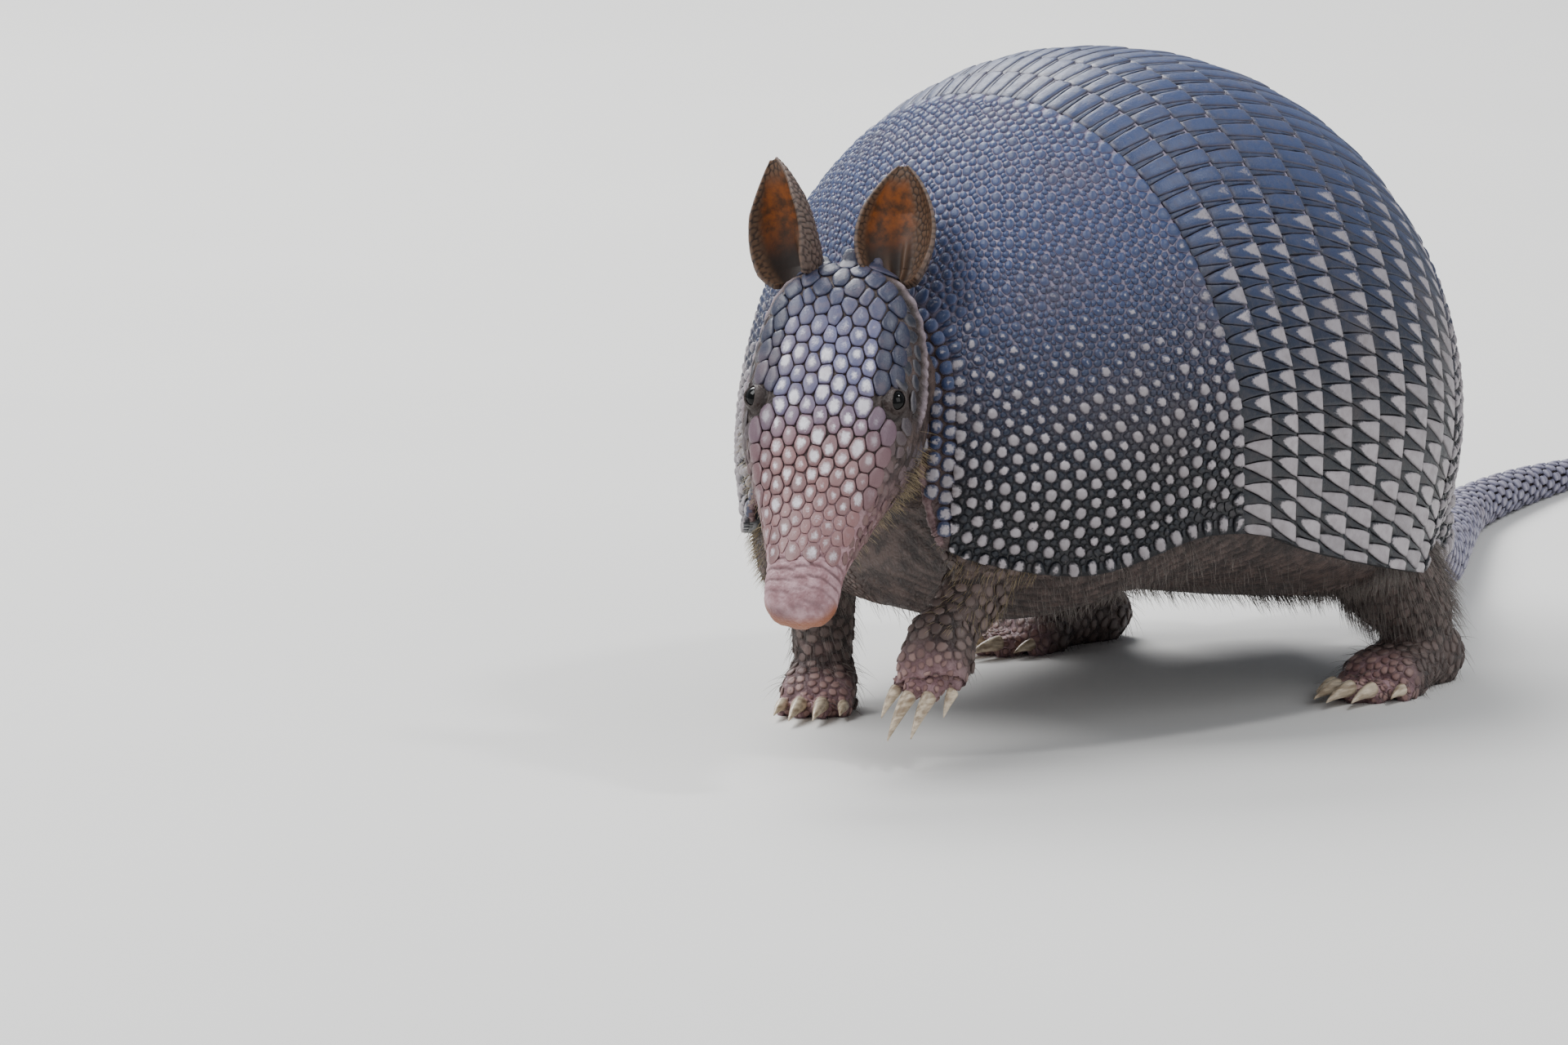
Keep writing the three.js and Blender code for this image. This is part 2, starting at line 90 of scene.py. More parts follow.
# places on the head are the distances along it, out to the side and up
EYE_PLACE = (44.5, 19, 2.6)
EYE_BALL = 3.4
EYE_DEEPER = 0.35
EYE_HALF_LENGTH = 2.8
EYE_HALF_HEIGHT = 1.8
LID_THICK = 0.3
SOCKET_DEPTH = 1.1
EAR_LENGTH = 32
EAR_HALF_WIDTH = 10.8
EAR_THICK = 1.8
EAR_CUP = 7.5
EAR_SUNK = 2.4
EAR_CURL = 1.25
EAR_PLACE = (4, 13.5, -3)
NOSTRIL = (108.4, 3.6, -5.0)
# each row is how far forward, the height of the middle, half the width, half the height, and how far left
NECK = [
    [68, 86, 25, 24, 0], [84, 88, 26, 24.5, 0], [92, 95, 25.5, 27, 0.5], [100, 103, 23, 26, 2],
    [108, 105, 18, 20, 5],
]

# each station is left, forward, up, radius
FORELEG_DOWN = [
    [-46, 62, 80, 19], [-47, 60, 56, 15.5], [-46, 58.5, 38, 12], [-45, 57, 24, 9.8], [-44.5, 57, 10, 8.4],
]
FORELEG_RAISED = [
    [40, 62, 74, 17], [37, 71, 60, 13.5], [34, 79, 51, 11], [32.5, 86, 43, 9.6], [32, 97, 32, 8.2],
]
HINDLEG = [[44, -52, 76, 23], [50, -57, 54, 20], [54, -66, 37, 17], [57, -76, 23, 13], [58, -82, 10, 8.8]]
HIND_STRIDE = 8
# each station is the distance along the foot, half its width, and its bottom and top
FOREFOOT = [
    [-7, 5.5, 3, 13], [-1, 9, -1, 17], [7, 10.4, -1, 14.5], [13, 10.4, -0.6, 10.8], [15.5, 8.6, 0.6, 8],
]
HINDFOOT = [
    [-14, 5, 3, 11], [-8, 8.4, -1, 16], [4, 9.4, -1, 18.5], [16, 10.8, -1, 14.5], [26, 12, -0.8, 11.4],
    [29.5, 10, 0.6, 8.8],
]
# each toe is its place across, where it starts and ends, its radius, and its claw's length
FORETOES = [
    [-7.6, 9, 19, 2.7, 8.5], [-2.8, 10, 22, 3.3, 14], [2.6, 10, 21.5, 3.3, 13], [7.4, 8, 18, 2.6, 7],
]
HINDTOES = [
    [-9.6, 22, 33.5, 2.8, 6.5], [-5, 26, 40, 3.3, 10.5], [0, 27, 42.5, 3.5, 11.5], [5, 26, 40, 3.3, 10.5],
    [9.4, 21, 32, 2.7, 6],
]
CLAW_RADIUS = 0.72

# left, rearward, height of the middle, radius
TAIL = [
    [2, 104, 58, 21.5], [0, 122, 48, 20], [-5, 140, 36, 17.2], [-12, 158, 25, 14.6], [-22, 178, 16, 12.2],
    [-33, 199, 10.6, 10.6], [-53, 231, 8.7, 8.8], [-78, 270, 7.2, 7.3], [-93, 296, 6.4, 6.5],
    [-109, 340, 5.3, 5.4], [-118, 376, 4, 4.2], [-124, 402, 2.6, 2.8],
]

# ---- the coat's measures
COAT = 0.5
VOXEL = 1.1
ROSETTE = 5.1
ROSETTE_ROW = 4.45
SMALL_SCUTE_GAP = 1.5
SCUTE_PITCH = 6.05
TAIL_RING = 10.5
TAIL_RINGED = 210
LIP_ROLL = 24.0
LIP_PITCH = 4.5
# skin lower than this rests on the floor
SOLE = 0.95
# the height of the edge between pale and slate scutes at the shell's front, how much higher it is behind, and
# the height over which the pale fades
PALE_EDGE = 122
PALE_EDGE_RISE = 10
PALE_FADE = 62
# height above the floor, and how pale a band's scutes are there
BAND_PALE = [
    [52, 1.0], [66, 0.95], [87, 0.82], [108, 0.7], [139, 0.46], [156, 0.22], [167, 0.0], [176, -0.1],
    [190, -0.1],
]
# distance along the head, and how far out its shield of large scales goes
HEAD_SHIELD = [
    [-4, 9], [6, 14], [16, 17], [30, 19.5], [44, 18.6], [58, 18.5], [70, 16], [80, 13], [88, 11], [94, 9],
    [100, 6],
]
# the spacing of those scales at the crown, the brow and the snout
CROWN_PITCH = 7.2
BROW_PITCH = 5.9
SNOUT_PITCH = 4.5
# distance along the head, and the height of the pale fold below the ear
CHEEK_FOLD = [[2, 0], [8, -3.2], [14, -6.2], [20, -8.2], [30, -9.4], [40, -8.6], [50, -7]]
# degrees round the neck opening, and the width of its lip
LIP = [
    [-88, 2], [-70, 3], [-40, 4], [-15, 3], [0, 1.6], [10, 5.4], [20, 8.4], [30, 9.8], [40, 11.2], [46, 10],
    [54, 7.6], [60, 6], [70, 4.2], [88, 2],
]
# by side, left 1 and right -1: the way the ear points, the way it faces, its fold, and where its border runs
EAR_LEAN = {1: (-9, 13, 29.5), -1: (-15, 4, 33)}
EAR_FACE = {1: (0.45, -0.89, 0.05), -1: (-0.14, -0.99, 0.05)}
EAR_FOLD = {1: 1.35, -1: 1.75}
EAR_BORDER = {1: (0.1, 0.45), -1: (0.74, 0.92)}
# each row of a dome is a share of its radius and a share of its height, from the rim upward
SHIELD_DOME = ((1, -0.9), (0.94, 0.1), (0.76, 0.58), (0.44, 0.9))
SMALL_DOME = ((1, -1.4), (0.9, 0.6))
BAND_DOME = ((1.0, -0.5), (0.965, 0.4), (0.82, 0.8), (0.5, 0.96))
HEAD_DOME = ((1, -0.7), (0.965, 0.15), (0.9, 0.42), (0.8, 0.66), (0.65, 0.84), (0.45, 0.95), (0.22, 0.99))
LIP_DOME = ((1, -1.0), (0.94, 0.3), (0.74, 0.78), (0.4, 0.97))
TAIL_DOME = ((1, -1.2), (0.92, 0.5), (0.6, 0.9))
SKIN_DOME = ((1.0, -0.9), (0.9, 0.55), (0.55, 0.95))
SMALLEST_RADIUS = 0.12
# places of a band scute's outline points along the band, from its front edge at 0 to its rear edge at 1
WIDE_ROWS = (0.03, 0.16, 0.36, 0.56, 0.76, 0.92, 1.02)
NARROW_ROWS = (0.0, 0.1, 0.3, 0.55, 0.8, 0.93)
UPWARD = np.array([0, 0, 1.0])
LEFTWARD = np.array([1.0, 0, 0])


def mix(a, b, t):
    return a + (b - a) * t


def clamp(t, low=0.0, high=1.0):
    return np.clip(t, low, high)


def bent(t, power):
    return np.sign(t) * np.abs(t) ** power


def smooth(start, end, at):
    t = clamp((at - start) / (end - start))
    return t * t * (3 - 2 * t)


def unit(v):
    return v / np.maximum(np.linalg.norm(v, axis=-1, keepdims=True), 1e-9)


def dot(a, b):
    return (a * b).sum(-1)


def length_along(line):
    """The distance of each point of a line from its first point."""
    return np.concatenate([[0], np.cumsum(np.linalg.norm(np.diff(line, axis=0), axis=-1))])


def curve(rows, at, column=1):
    """A smooth line through a table's rows."""
    rows = np.array(rows, float)
    x, y = rows[:, 0], rows[:, column]
    slope = np.gradient(y, x)
    at = clamp(at, x[0], x[-1])
    i = clamp(np.searchsorted(x, at, side="right") - 1, 0, len(x) - 2).astype(int)
    step = x[i + 1] - x[i]
    t = (at - x[i]) / step
    rise = (2 * t**3 - 3 * t**2 + 1) * y[i] + (3 * t**2 - 2 * t**3) * y[i + 1]
    return rise + step * ((t**3 - 2 * t**2 + t) * slope[i] + (t**3 - t**2) * slope[i + 1])


def place(left, forward, up):
    """A point given as left, forward and up from the floor under the middle of the shell."""
    left, forward, up = np.broadcast_arrays(left, forward, up)
    return np.stack([left - MIDDLE_LEFT, -forward - MIDDLE_REAR, up], axis=-1).astype(float)


def columns(*values):
    """Columns or single numbers side by side, one row for each point."""
    return np.stack(np.broadcast_arrays(*values), -1).astype(float)


def spread_uv(across, up):
    """Shares from 0 to 1 as a place on the unwrap, inside a small margin."""
    return np.stack([0.02 + 0.96 * across, 0.02 + 0.96 * up], -1)


# ---- making meshes

def make_piece(name, look, slot, nodes, points, faces, tone=None, uv=None):
    """A piece of the model from millimetre points; tone and uv are given per point."""
    mesh = bpy.data.meshes.new(name)
    mesh.from_pydata((np.asarray(points) * MM).tolist(), [], faces.tolist())
    mesh.update()
    dress_piece(name, mesh, look, nodes, tone, uv)


def dress_piece(name, mesh, look, nodes, tone=None, uv=None):
    """Gives a mesh its tone, unwrap and look, and its place in the frame."""
    piece = bpy.data.objects.new(name, mesh)
    bpy.context.collection.objects.link(piece)
    if tone is not None:
        layer = mesh.color_attributes.new(name="tone", type="FLOAT_COLOR", domain="POINT")
        layer.data.foreach_set("color", np.asarray(tone, np.float32).ravel())
    if uv is not None:
        layer = mesh.uv_layers.new(name="OFBake")
        index = np.zeros(len(mesh.loops), np.int32)
        mesh.loops.foreach_get("vertex_index", index)
        layer.data.foreach_set("uv", np.asarray(uv, np.float32)[index].ravel())
    mesh.shade_smooth()
    mesh.materials.clear()
    mesh.materials.append(look)
    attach(piece, "root")
    if nodes:
        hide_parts(*nodes)


def join(*parts):
    """Several (points, faces, ...) bodies as one; every column after the faces is per point."""
    starts = np.cumsum([0] + [len(part[0]) for part in parts[:-1]])
    points, faces, *extra = zip(*parts)
    faces = [rows + start for rows, start in zip(faces, starts)]
    return tuple(np.concatenate(column) for column in (points, faces, *extra))


def outward(points, faces):
    """A closed body with its faces turned to look outward."""
    a, b, c = (points[faces[:, k]] for k in range(3))
    if dot(a, np.cross(b, c)).sum() < 0:
        faces = faces[:, ::-1]
    return points, faces


def loft(rings):
    """A closed skin through rings of points, as triangles."""
    rings = np.asarray(rings, float)
    count, around = rings.shape[:2]
    points = np.concatenate([rings.reshape(-1, 3), rings[0].mean(0)[None], rings[-1].mean(0)[None]])
    i, j = np.meshgrid(np.arange(count - 1), np.arange(around), indexing="ij")
    a = (i * around + j).ravel()
    b = (i * around + (j + 1) % around).ravel()
    faces = [np.stack([a, b, a + around], 1), np.stack([b, b + around, a + around], 1)]
    j = np.arange(around)
    first, last = count * around, count * around + 1
    end = (count - 1) * around
    faces.append(np.stack([(j + 1) % around, j, np.full(around, first)], 1))
    faces.append(np.stack([end + j, end + (j + 1) % around, np.full(around, last)], 1))
    return outward(points, np.concatenate(faces))


def slab(outer, inner):
    """A closed curved sheet between two grids of points."""
    rows, across = outer.shape[:2]
    points = np.concatenate([outer.reshape(-1, 3), inner.reshape(-1, 3)])
    under = rows * across
    i, j = np.meshgrid(np.arange(rows - 1), np.arange(across - 1), indexing="ij")
    a = (i * across + j).ravel()
    j = np.arange(across - 1)
    last = (rows - 1) * across
    i = np.arange(rows - 1) * across
    right = i + across - 1
    quads = (
        (a, a + 1, a + across + 1, a + across),
        (under + a, under + a + across, under + a + across + 1, under + a + 1),
        (j, under + j, under + j + 1, j + 1),
        (last + j, last + j + 1, under + last + j + 1, under + last + j),
        (i, i + across, under + i + across, under + i),
        (right, under + right, under + right + across, right + across),
    )
    faces = [np.stack(part, 1) for a, b, c, d in quads for part in ((a, b, c), (a, c, d))]
    return outward(points, np.concatenate(faces))


def oval(centre, side, up, half, above, below, square=2.0, count=32):
    """A ring round a centre; above and below are its heights, and a larger square gives it flatter sides."""
    turn = 2 * np.pi * (np.arange(count) + 0.5) / count
    across = half * bent(np.cos(turn), 2 / square)
    height = (above - below) / 2 + bent(np.sin(turn), 2 / square) * (above + below) / 2
    return centre + across[:, None] * side + height[:, None] * up


# ---- scales: cells round their sites, each a small closed dome

def nearest(points):
    """A search tree over points."""
    tree = KDTree(len(points))
    for i, point in enumerate(points):
        tree.insert(point, i)
    tree.balance()
    return tree


def neighbours(sites, count):
    """The indices of each site's nearest other sites."""
    tree = nearest(sites)
    return np.array([[hit[1] for hit in tree.find_n(site, count + 1)][1:] for site in sites])


def cell_outline(sites, side, lie, weight, corners, limit, sharp, stretch, count=16, least=1e-3):
    """Distance to the edge of each site's cell at each corner's angle, with the cell's corners rounded.
    A heavier site takes a larger cell, and limit is the largest radius."""
    near = neighbours(sites, min(count, len(sites) - 1))
    offset = sites[near] - sites[:, None]
    dx = np.einsum("nkc,nc->nk", offset, side)
    dy = np.einsum("nkc,nc->nk", offset, lie) / stretch
    reach = np.maximum((dx * dx + dy * dy + weight[:, None] - weight[near]) / 2, least)
    turn = 2 * np.pi * (np.arange(corners) + 0.5) / corners
    pull = (dx[..., None] * np.cos(turn) + dy[..., None] * np.sin(turn)) / reach[..., None]
    total = (clamp(pull, 0, 1e3) ** sharp).sum(1) + (1 / limit) ** sharp
    return total ** (-1 / sharp), turn


def dome_faces(count, corners, rings):
    """The faces of domes, closed below. A dome's points are its rings from the rim up, then its top."""
    one = []
    for m in range(rings - 1):
        for c in range(corners):
            a, b = m * corners + c, m * corners + (c + 1) % corners
            one += [(a, b, b + corners), (a, b + corners, a + corners)]
    top, last = rings * corners, (rings - 1) * corners
    one += [(last + c, last + (c + 1) % corners, top) for c in range(corners)]
    one += [(0, c + 1, c) for c in range(1, corners - 1)]
    return (np.array(one)[None] + (np.arange(count) * (top + 1))[:, None, None]).reshape(-1, 3)


def edge_at(edge, q):
    """Where an edge in p lies at q; an edge is a number or a function of q."""
    return edge(q) if callable(edge) else edge


def ring_rows(profile, corners):
    """The share of the radius for each point of a dome."""
    return np.concatenate([np.repeat([share for share, _ in profile], corners), [0.0]])


def surface_steps(move_p, move_q, along_p, along_q):
    """Steps in p and q that make a move along a surface, from the move's parts along each."""
    pp, pq, qq = dot(along_p, along_p), dot(along_p, along_q), dot(along_q, along_q)
    det = pp * qq - pq * pq
    if np.ndim(move_p) > 1:
        pp, pq, qq, det = (v[:, None, None] for v in (pp, pq, qq, det))
    return (qq * move_p - pq * move_q) / det, (pp * move_q - pq * move_p) / det


def scales(surface, p, q, weight, lift, profile, corners=12, groove=0.2, limit=4.0, sharp=9, stretch=1.0,
           tilt=0.0, p_range=None, q_range=None, flip=False, step=0.5):
    """Scales at the sites (p, q) of a surface. Gives their points and faces, and for each point its site, its
    share of the way from the middle, its place along the lie from -1 to 1, and its p and q. lift is the
    height of each dome, groove the gap left round it, and limit its largest radius."""
    here = surface(p, q, 0)
    along_p = (surface(p + step, q, 0) - surface(p - step, q, 0)) / (2 * step)
    along_q = (surface(p, q + step, 0) - surface(p, q - step, 0)) / (2 * step)
    lie = -unit(along_p) if flip else unit(along_p)
    normal = unit(surface(p, q, 1.0) - here)
    normal = unit(normal - lie * dot(normal, lie)[:, None])
    side = np.cross(lie, normal)
    radius, turn = cell_outline(here, side, lie, weight, corners, limit, sharp, stretch)
    radius = np.maximum(radius - groove, SMALLEST_RADIUS)
    shares = np.array([row[0] for row in profile] + [0.0])
    heights = np.array([row[1] for row in profile] + [1.0])[None, :, None]
    x = radius[:, None, :] * np.cos(turn) * shares[None, :, None]
    y = radius[:, None, :] * np.sin(turn) * shares[None, :, None] * stretch
    move = x[..., None] * side[:, None, None] + y[..., None] * lie[:, None, None]
    with_p, with_q = dot(move, along_p[:, None, None]), dot(move, along_q[:, None, None])
    more_p, more_q = surface_steps(with_p, with_q, along_p, along_q)
    new_p, new_q = p[:, None, None] + more_p, q[:, None, None] + more_q
    if p_range:
        new_p = clamp(new_p, *[edge_at(edge, new_q) for edge in p_range])
    if q_range:
        new_q = clamp(new_q, *q_range)
    points = surface(new_p, new_q, heights * lift[:, None, None] + tilt * y * (heights > 0))
    rings, count = len(profile), len(p)
    outer = points[:, :rings].reshape(count, -1, 3)
    points = np.concatenate([outer, points[:, rings, :1]], 1).reshape(-1, 3)
    owner = np.repeat(np.arange(count), rings * corners + 1)
    share = np.tile(ring_rows(profile, corners), count)
    reach = np.tile(np.concatenate([(shares[:rings, None] * np.sin(turn)).ravel(), [0.0]]), count)
    at = [np.concatenate([new[:, :rings].reshape(count, -1), old[:, None]], 1).ravel()
          for new, old in ((new_p, p), (new_q, q))]
    return points, dome_faces(count, corners, rings), owner, share, reach, *at


def thin_out(points, gap):
    """The indices of points that keep at least gap from those kept before them."""
    cell = 4.0
    steps = [(x, y, z) for x in (-1, 0, 1) for y in (-1, 0, 1) for z in (-1, 0, 1)]
    cells, kept = {}, []
    for i, (point, least) in enumerate(zip(points, np.broadcast_to(gap, len(points)))):
        x, y, z = (int(v) for v in point // cell)
        near = [k for dx, dy, dz in steps for k in cells.get((x + dx, y + dy, z + dz), ())]
        if not near or (((points[near] - point) ** 2).sum(1) >= least * least).all():
            kept.append(i)
            cells.setdefault((x, y, z), []).append(i)
    return np.array(kept)


def scattered(points, gap):
    """Points in a random order, thinned to keep their gap."""
    order = draw.permutation(len(points))
    return order[thin_out(points[order], gap[order] if np.ndim(gap) else gap)]


def only(chosen, made):
    """The scales of the chosen sites alone, from scales() over all the sites."""
    points, faces, owner, *rest = made
    keep = chosen[owner]
    number = np.cumsum(keep) - 1
    faces = faces[keep[faces[:, 0]]]
    names = np.cumsum(chosen) - 1
    return (points[keep], number[faces], names[owner[keep]], *[column[keep] for column in rest])


# ---- shell

def shell_point(section, around, lift=0.0):
    """The outer surface of the shell, lift above it. section goes from -90 at the rear to 90 at the front,
    and around from -90 at the right rim to 90 at the left."""
    section, around = np.broadcast_arrays(np.asarray(section, float), np.asarray(around, float))
    sine = np.sin(np.radians(section))
    front = sine > 0
    lean = np.where(front, mix(SHELL_LEAN_FRONT, 1, smooth(20, 90, section)), SHELL_LEAN_REAR)
    reach = np.where(front, SHELL_FRONT, SHELL_REAR) + lift
    end = np.where(front, SHELL_HALF_FRONT, SHELL_HALF_REAR)
    taper = np.where(front, SHELL_TAPER_FRONT, SHELL_TAPER_REAR)
    half = mix(SHELL_HALF_WIDTH, end, np.abs(sine) ** taper) + lift
    over = bent(np.cos(np.radians(around)), SHELL_ROUND_UP)
    across = bent(np.sin(np.radians(around)), SHELL_ROUND_ACROSS)
    rise = np.abs(np.cos(np.radians(section))) ** np.where(front, 1, SHELL_ROUND_REAR)
    rim = curve(SHELL_RIM, section)
    curl = 1 - SHELL_CURL * smooth(68, 90, np.abs(around))
    forward = reach * sine * (lean + (1 - lean) * over)
    return place(half * across * curl, forward, rim + (SHELL_TOP + lift - rim) * rise * over)


def neck_edge(around):
    """The section of the shell's front edge, farther forward at the sides."""
    return mix(NECK_OPENING_TOP, NECK_OPENING_SIDE, smooth(8, 80, np.abs(around)))


def tail_edge(around):
    """The section of the shell's rear edge, with a notch over the tail."""
    return -90 + TAIL_NOTCH * (1 - smooth(20, 42, np.abs(around)))


def shell_uv(section, around):
    """An unwrap of the shell: sections across it, and the way round."""
    return spread_uv((section + 92) / 180, (around + 92) / 184)


def paleness(points):
    """How pale the scutes are, cream low on the flanks, and how far up onto the back they are, where their
    slate blue is painted sky reflection.
    """
    forward = -points[:, 1] - MIDDLE_REAR
    edge = PALE_EDGE + PALE_EDGE_RISE * smooth(88, 20, forward)
    return clamp((edge + 24 - points[:, 2]) / PALE_FADE), smooth(edge - 58, edge + 30, points[:, 2])


def arc_from(middle, turns, line):
    """The distance of a line's points from the place where its turn is the middle one."""
    arc = length_along(line)
    return arc - np.interp(middle, turns, arc)


def shield_sites(near, far):
    """Rows of rosettes, from the edge beside the bands to the outer edge, that keep the near edge's line."""
    around = np.linspace(-88.6, 88.6, 141)
    section = mix(near, far(around)[None], np.linspace(0, 1, 160)[:, None])
    steps = np.linalg.norm(np.diff(shell_point(section, around[None]), axis=0), axis=-1)
    length = np.concatenate([np.zeros((1, len(around))), np.cumsum(steps, 0)])
    sites = []
    row = 0
    while (length[-1] > (row + 0.45) * ROSETTE_ROW).any():
        distance = (row + 0.5) * ROSETTE_ROW
        inside = (length[-1] > distance).astype(float)
        at = np.array([np.interp(distance, length[:, j], section[:, j]) for j in range(len(around))])
        arc = arc_from(0, around, shell_point(at, around))
        u = (np.arange(-50, 51) + 0.5 * (row % 2)) * ROSETTE
        u = u[(u > arc[0]) & (u < arc[-1])]
        whole = np.interp(u, arc, inside) > 0.999
        sites.append(np.stack([np.interp(u, arc, at), np.interp(u, arc, around)], 1)[whole])
        row += 1
    return np.concatenate(sites)


EDGE_MARGIN = 1.3


def edge_sites(near, far):
    """A row of scutes along each lower rim and one along the outer edge."""
    t = np.linspace(0.02, 0.99, 200)
    turn = np.linspace(-86, 86, 700)
    rows = [(mix(near, far(np.full(200, 88.0 * side)), t), np.full(200, 88.5 * side)) for side in (-1, 1)]
    rows.append((far(turn) - EDGE_MARGIN * np.sign(near), turn))
    kept = []
    for section, around in rows:
        arc = length_along(shell_point(section, around))
        marks = np.linspace(0, arc[-1], int(arc[-1] / (ROSETTE * 0.97)) + 1)
        kept.append(np.stack([np.interp(marks, arc, section), np.interp(marks, arc, around)], 1))
    kept = np.concatenate(kept)
    return kept[thin_out(shell_point(*kept.T), ROSETTE * 0.75)]


def spread_sites(sites, near, far):
    """Evens out the rosettes' spacing over the curved surface, round fixed rows at the edges."""
    rounds, strength = 26, 0.2
    fixed = edge_sites(near, far)
    every = np.concatenate([fixed, sites])
    kept = thin_out(shell_point(*every.T), ROSETTE * 0.72)
    still = kept < len(fixed)
    section, around = every[kept].T
    inner = near + EDGE_MARGIN * np.sign(near)
    for _ in range(rounds):
        here = shell_point(section, around)
        want = ROSETTE * mix(1.16, 1.02, paleness(here)[1])[:, None, None]
        along_section = shell_point(section + 0.5, around) - shell_point(section - 0.5, around)
        along_around = shell_point(section, around + 0.5) - shell_point(section, around - 0.5)
        away = here[:, None] - here[neighbours(here, 7)]
        gap = np.linalg.norm(away, axis=-1, keepdims=True)
        push = (away / gap * np.maximum(0, want - gap)).sum(1) * strength
        push[still] = 0
        more = surface_steps(dot(push, along_section), dot(push, along_around), along_section, along_around)
        around = clamp(around + more[1], -88.5, 88.5)
        outer = far(around) - EDGE_MARGIN * 1.4 * np.sign(near)
        section = clamp(section + more[0], np.minimum(inner, outer), np.maximum(inner, outer))
    return np.stack([section, around], 1)


def between_sites(sites):
    """Sites midway between neighbouring rosettes, and in the hollow where three meet."""
    here = shell_point(*sites.T)
    around = 9
    near = neighbours(here, around)
    i = np.repeat(np.arange(len(here)), around)
    j = near.ravel()
    i, j = i[i < j], j[i < j]
    # midway between two that are close, unless a third is in the way
    gap = np.linalg.norm(here[i] - here[j], axis=1)
    middle = (here[i] + here[j]) / 2
    others = np.linalg.norm(here[near[i]] - middle[:, None], axis=-1)
    others[near[i] == j[:, None]] = 1e3
    keep = (gap < ROSETTE * 1.55) & (others.min(1) > gap * 0.5)
    midway = (sites[i] + sites[j])[keep] / 2
    # at the middle of the circle through three, when no other rosette is inside it
    first, second = np.array([(a, b) for a in range(8) for b in range(a + 1, 8)]).T
    i = np.repeat(np.arange(len(here)), len(first))
    three = np.stack([i, near[:, first].ravel(), near[:, second].ravel()], 1)
    three = np.unique(np.sort(three, axis=1), axis=0)
    origin = here[three[:, 0]]
    a, b = here[three[:, 1]] - origin, here[three[:, 2]] - origin
    cross = np.cross(a, b)
    flat = np.maximum(dot(cross, cross), 1e-6)
    shift = np.cross(dot(a, a)[:, None] * b - dot(b, b)[:, None] * a, cross) / (2 * flat)[:, None]
    wide = np.linalg.norm(shift, axis=1)
    gaps = np.linalg.norm(here[near[three[:, 0]]] - (origin + shift)[:, None], axis=-1)
    keep = (wide < ROSETTE * 0.9) & (gaps.min(1) > wide * 0.97)
    extra = np.concatenate([sites[three[keep]].mean(1), midway])
    return extra[thin_out(shell_point(*extra.T), SMALL_SCUTE_GAP)]


def shell_tone(share, reach, owner, spots, noise, big, rim=0.0):
    """pale, edge, random and slate for each point of the shell's scutes; slate paints the sky reflection over
    the back.
    """
    pale, slate = paleness(spots)
    spot = mix(-0.45, 0.84, pale) + (noise - 0.5) * 0.5 - 0.35 * rim if big else np.full(len(noise), -0.3)
    uneven = draw.normal(0, 0.11, len(share)) - 0.2 * reach
    light = clamp(0.5 + 0.75 * (spot[owner] - share + uneven))
    return columns(light, smooth(0.9, 1.0, share), noise[owner], slate[owner])


def plate_base(front, rear, rows, tuck, sink):
    """The bony plate under the scutes, with its front edge tucked under the part ahead."""
    around = np.linspace(-90, 90, 121)[None]
    t = np.linspace(0, 1, rows)[:, None]
    section = mix(edge_at(front, around), edge_at(rear, around), t)
    section, around = np.broadcast_arrays(section, around)
    outer = shell_point(section, around, -tuck * (1 - t) - sink)
    points, faces = slab(outer, shell_point(section, around, -PLATE))
    uv = np.tile(shell_uv(section, around).reshape(-1, 2), (2, 1))
    return points, faces, columns(0, 1, 0.5, paleness(points)[1]), uv


def shield(name, near, far, look):
    """A shield from its edge beside the bands to its outer edge: rosettes, with small scutes between them."""
    forward = near > 0
    sites = spread_sites(shield_sites(near, far), near, far)
    section, around = np.concatenate([sites, between_sites(sites)]).T
    spots = shell_point(section, around)
    noise = draw.random(len(spots))
    slate = paleness(spots)[1]
    big = np.arange(len(spots)) < len(sites)
    by_neck = smooth(11, 2, neck_edge(around) - section)
    weight = np.where(big, mix(2.3, 1.5, slate) + 1.4 * by_neck + (noise - 0.5), (noise - 0.5) * 0.5)
    lift = np.where(big, mix(1.15, 0.46, slate), mix(0.1, 0.34, slate)) * mix(0.85, 1.1, noise)
    edges = (near, far) if forward else (far, near)
    every = []
    for chosen, corners, profile in ((big, 11, SHIELD_DOME), (~big, 7, SMALL_DOME)):
        made = scales(shell_point, section, around, weight, lift, profile, corners, groove=0.07, limit=3.4,
                      sharp=10, p_range=edges, q_range=(-90, 90), flip=forward)
        points, faces, owner, share, reach, p, q = only(chosen, made)
        by_rim = smooth(84, 88, np.abs(around[chosen]))
        tone = shell_tone(share, reach, owner, spots[chosen], noise[chosen], chosen is big, by_rim)
        every.append((points, faces, tone, shell_uv(p, q)))
    front, rear = reversed(edges)
    base = plate_base(front, rear, 36, SHINGLE * (not forward), 0.3)
    node = name + "_shield"
    make_piece(node + "_plate", look, "shell", [node], *join(base, every[1]))
    make_piece(node + "_scutes", look, "shell", [node], *every[0])


def wedge(wide, slate, low, sway, grain):
    """The outline of a wedge-shaped scute: distances across in pitches, and rearward over the band. A wide
    one broadens towards the rear, and a narrow one fills the gap between two wide ones."""
    v = np.array(WIDE_ROWS if wide else NARROW_ROWS)
    groove, least = 0.03, 0.015
    power = mix(mix(0.8, 0.55, slate), 0.42, low) * mix(0.9, 1.12, grain)
    half = mix(0.465 * (0.06 + 0.94 * v**power), 0.35 + 0.08 * v, 0.9 * smooth(0.55, 0.97, slate))
    corner = mix(0.08, 0.24, max(slate, low)) * smooth(0.86, 1.03, v)
    half = half * (1 - corner) if wide else np.maximum(0.5 - half - groove, least)
    centre = sway * (1 - v) + (0 if wide else 0.5)
    across = np.concatenate([centre + half, (centre - half)[::-1]])
    outline = np.stack([across, np.concatenate([v, v[::-1]])], 1)
    return outline + draw.normal(0, (0.012, 0.01), outline.shape)


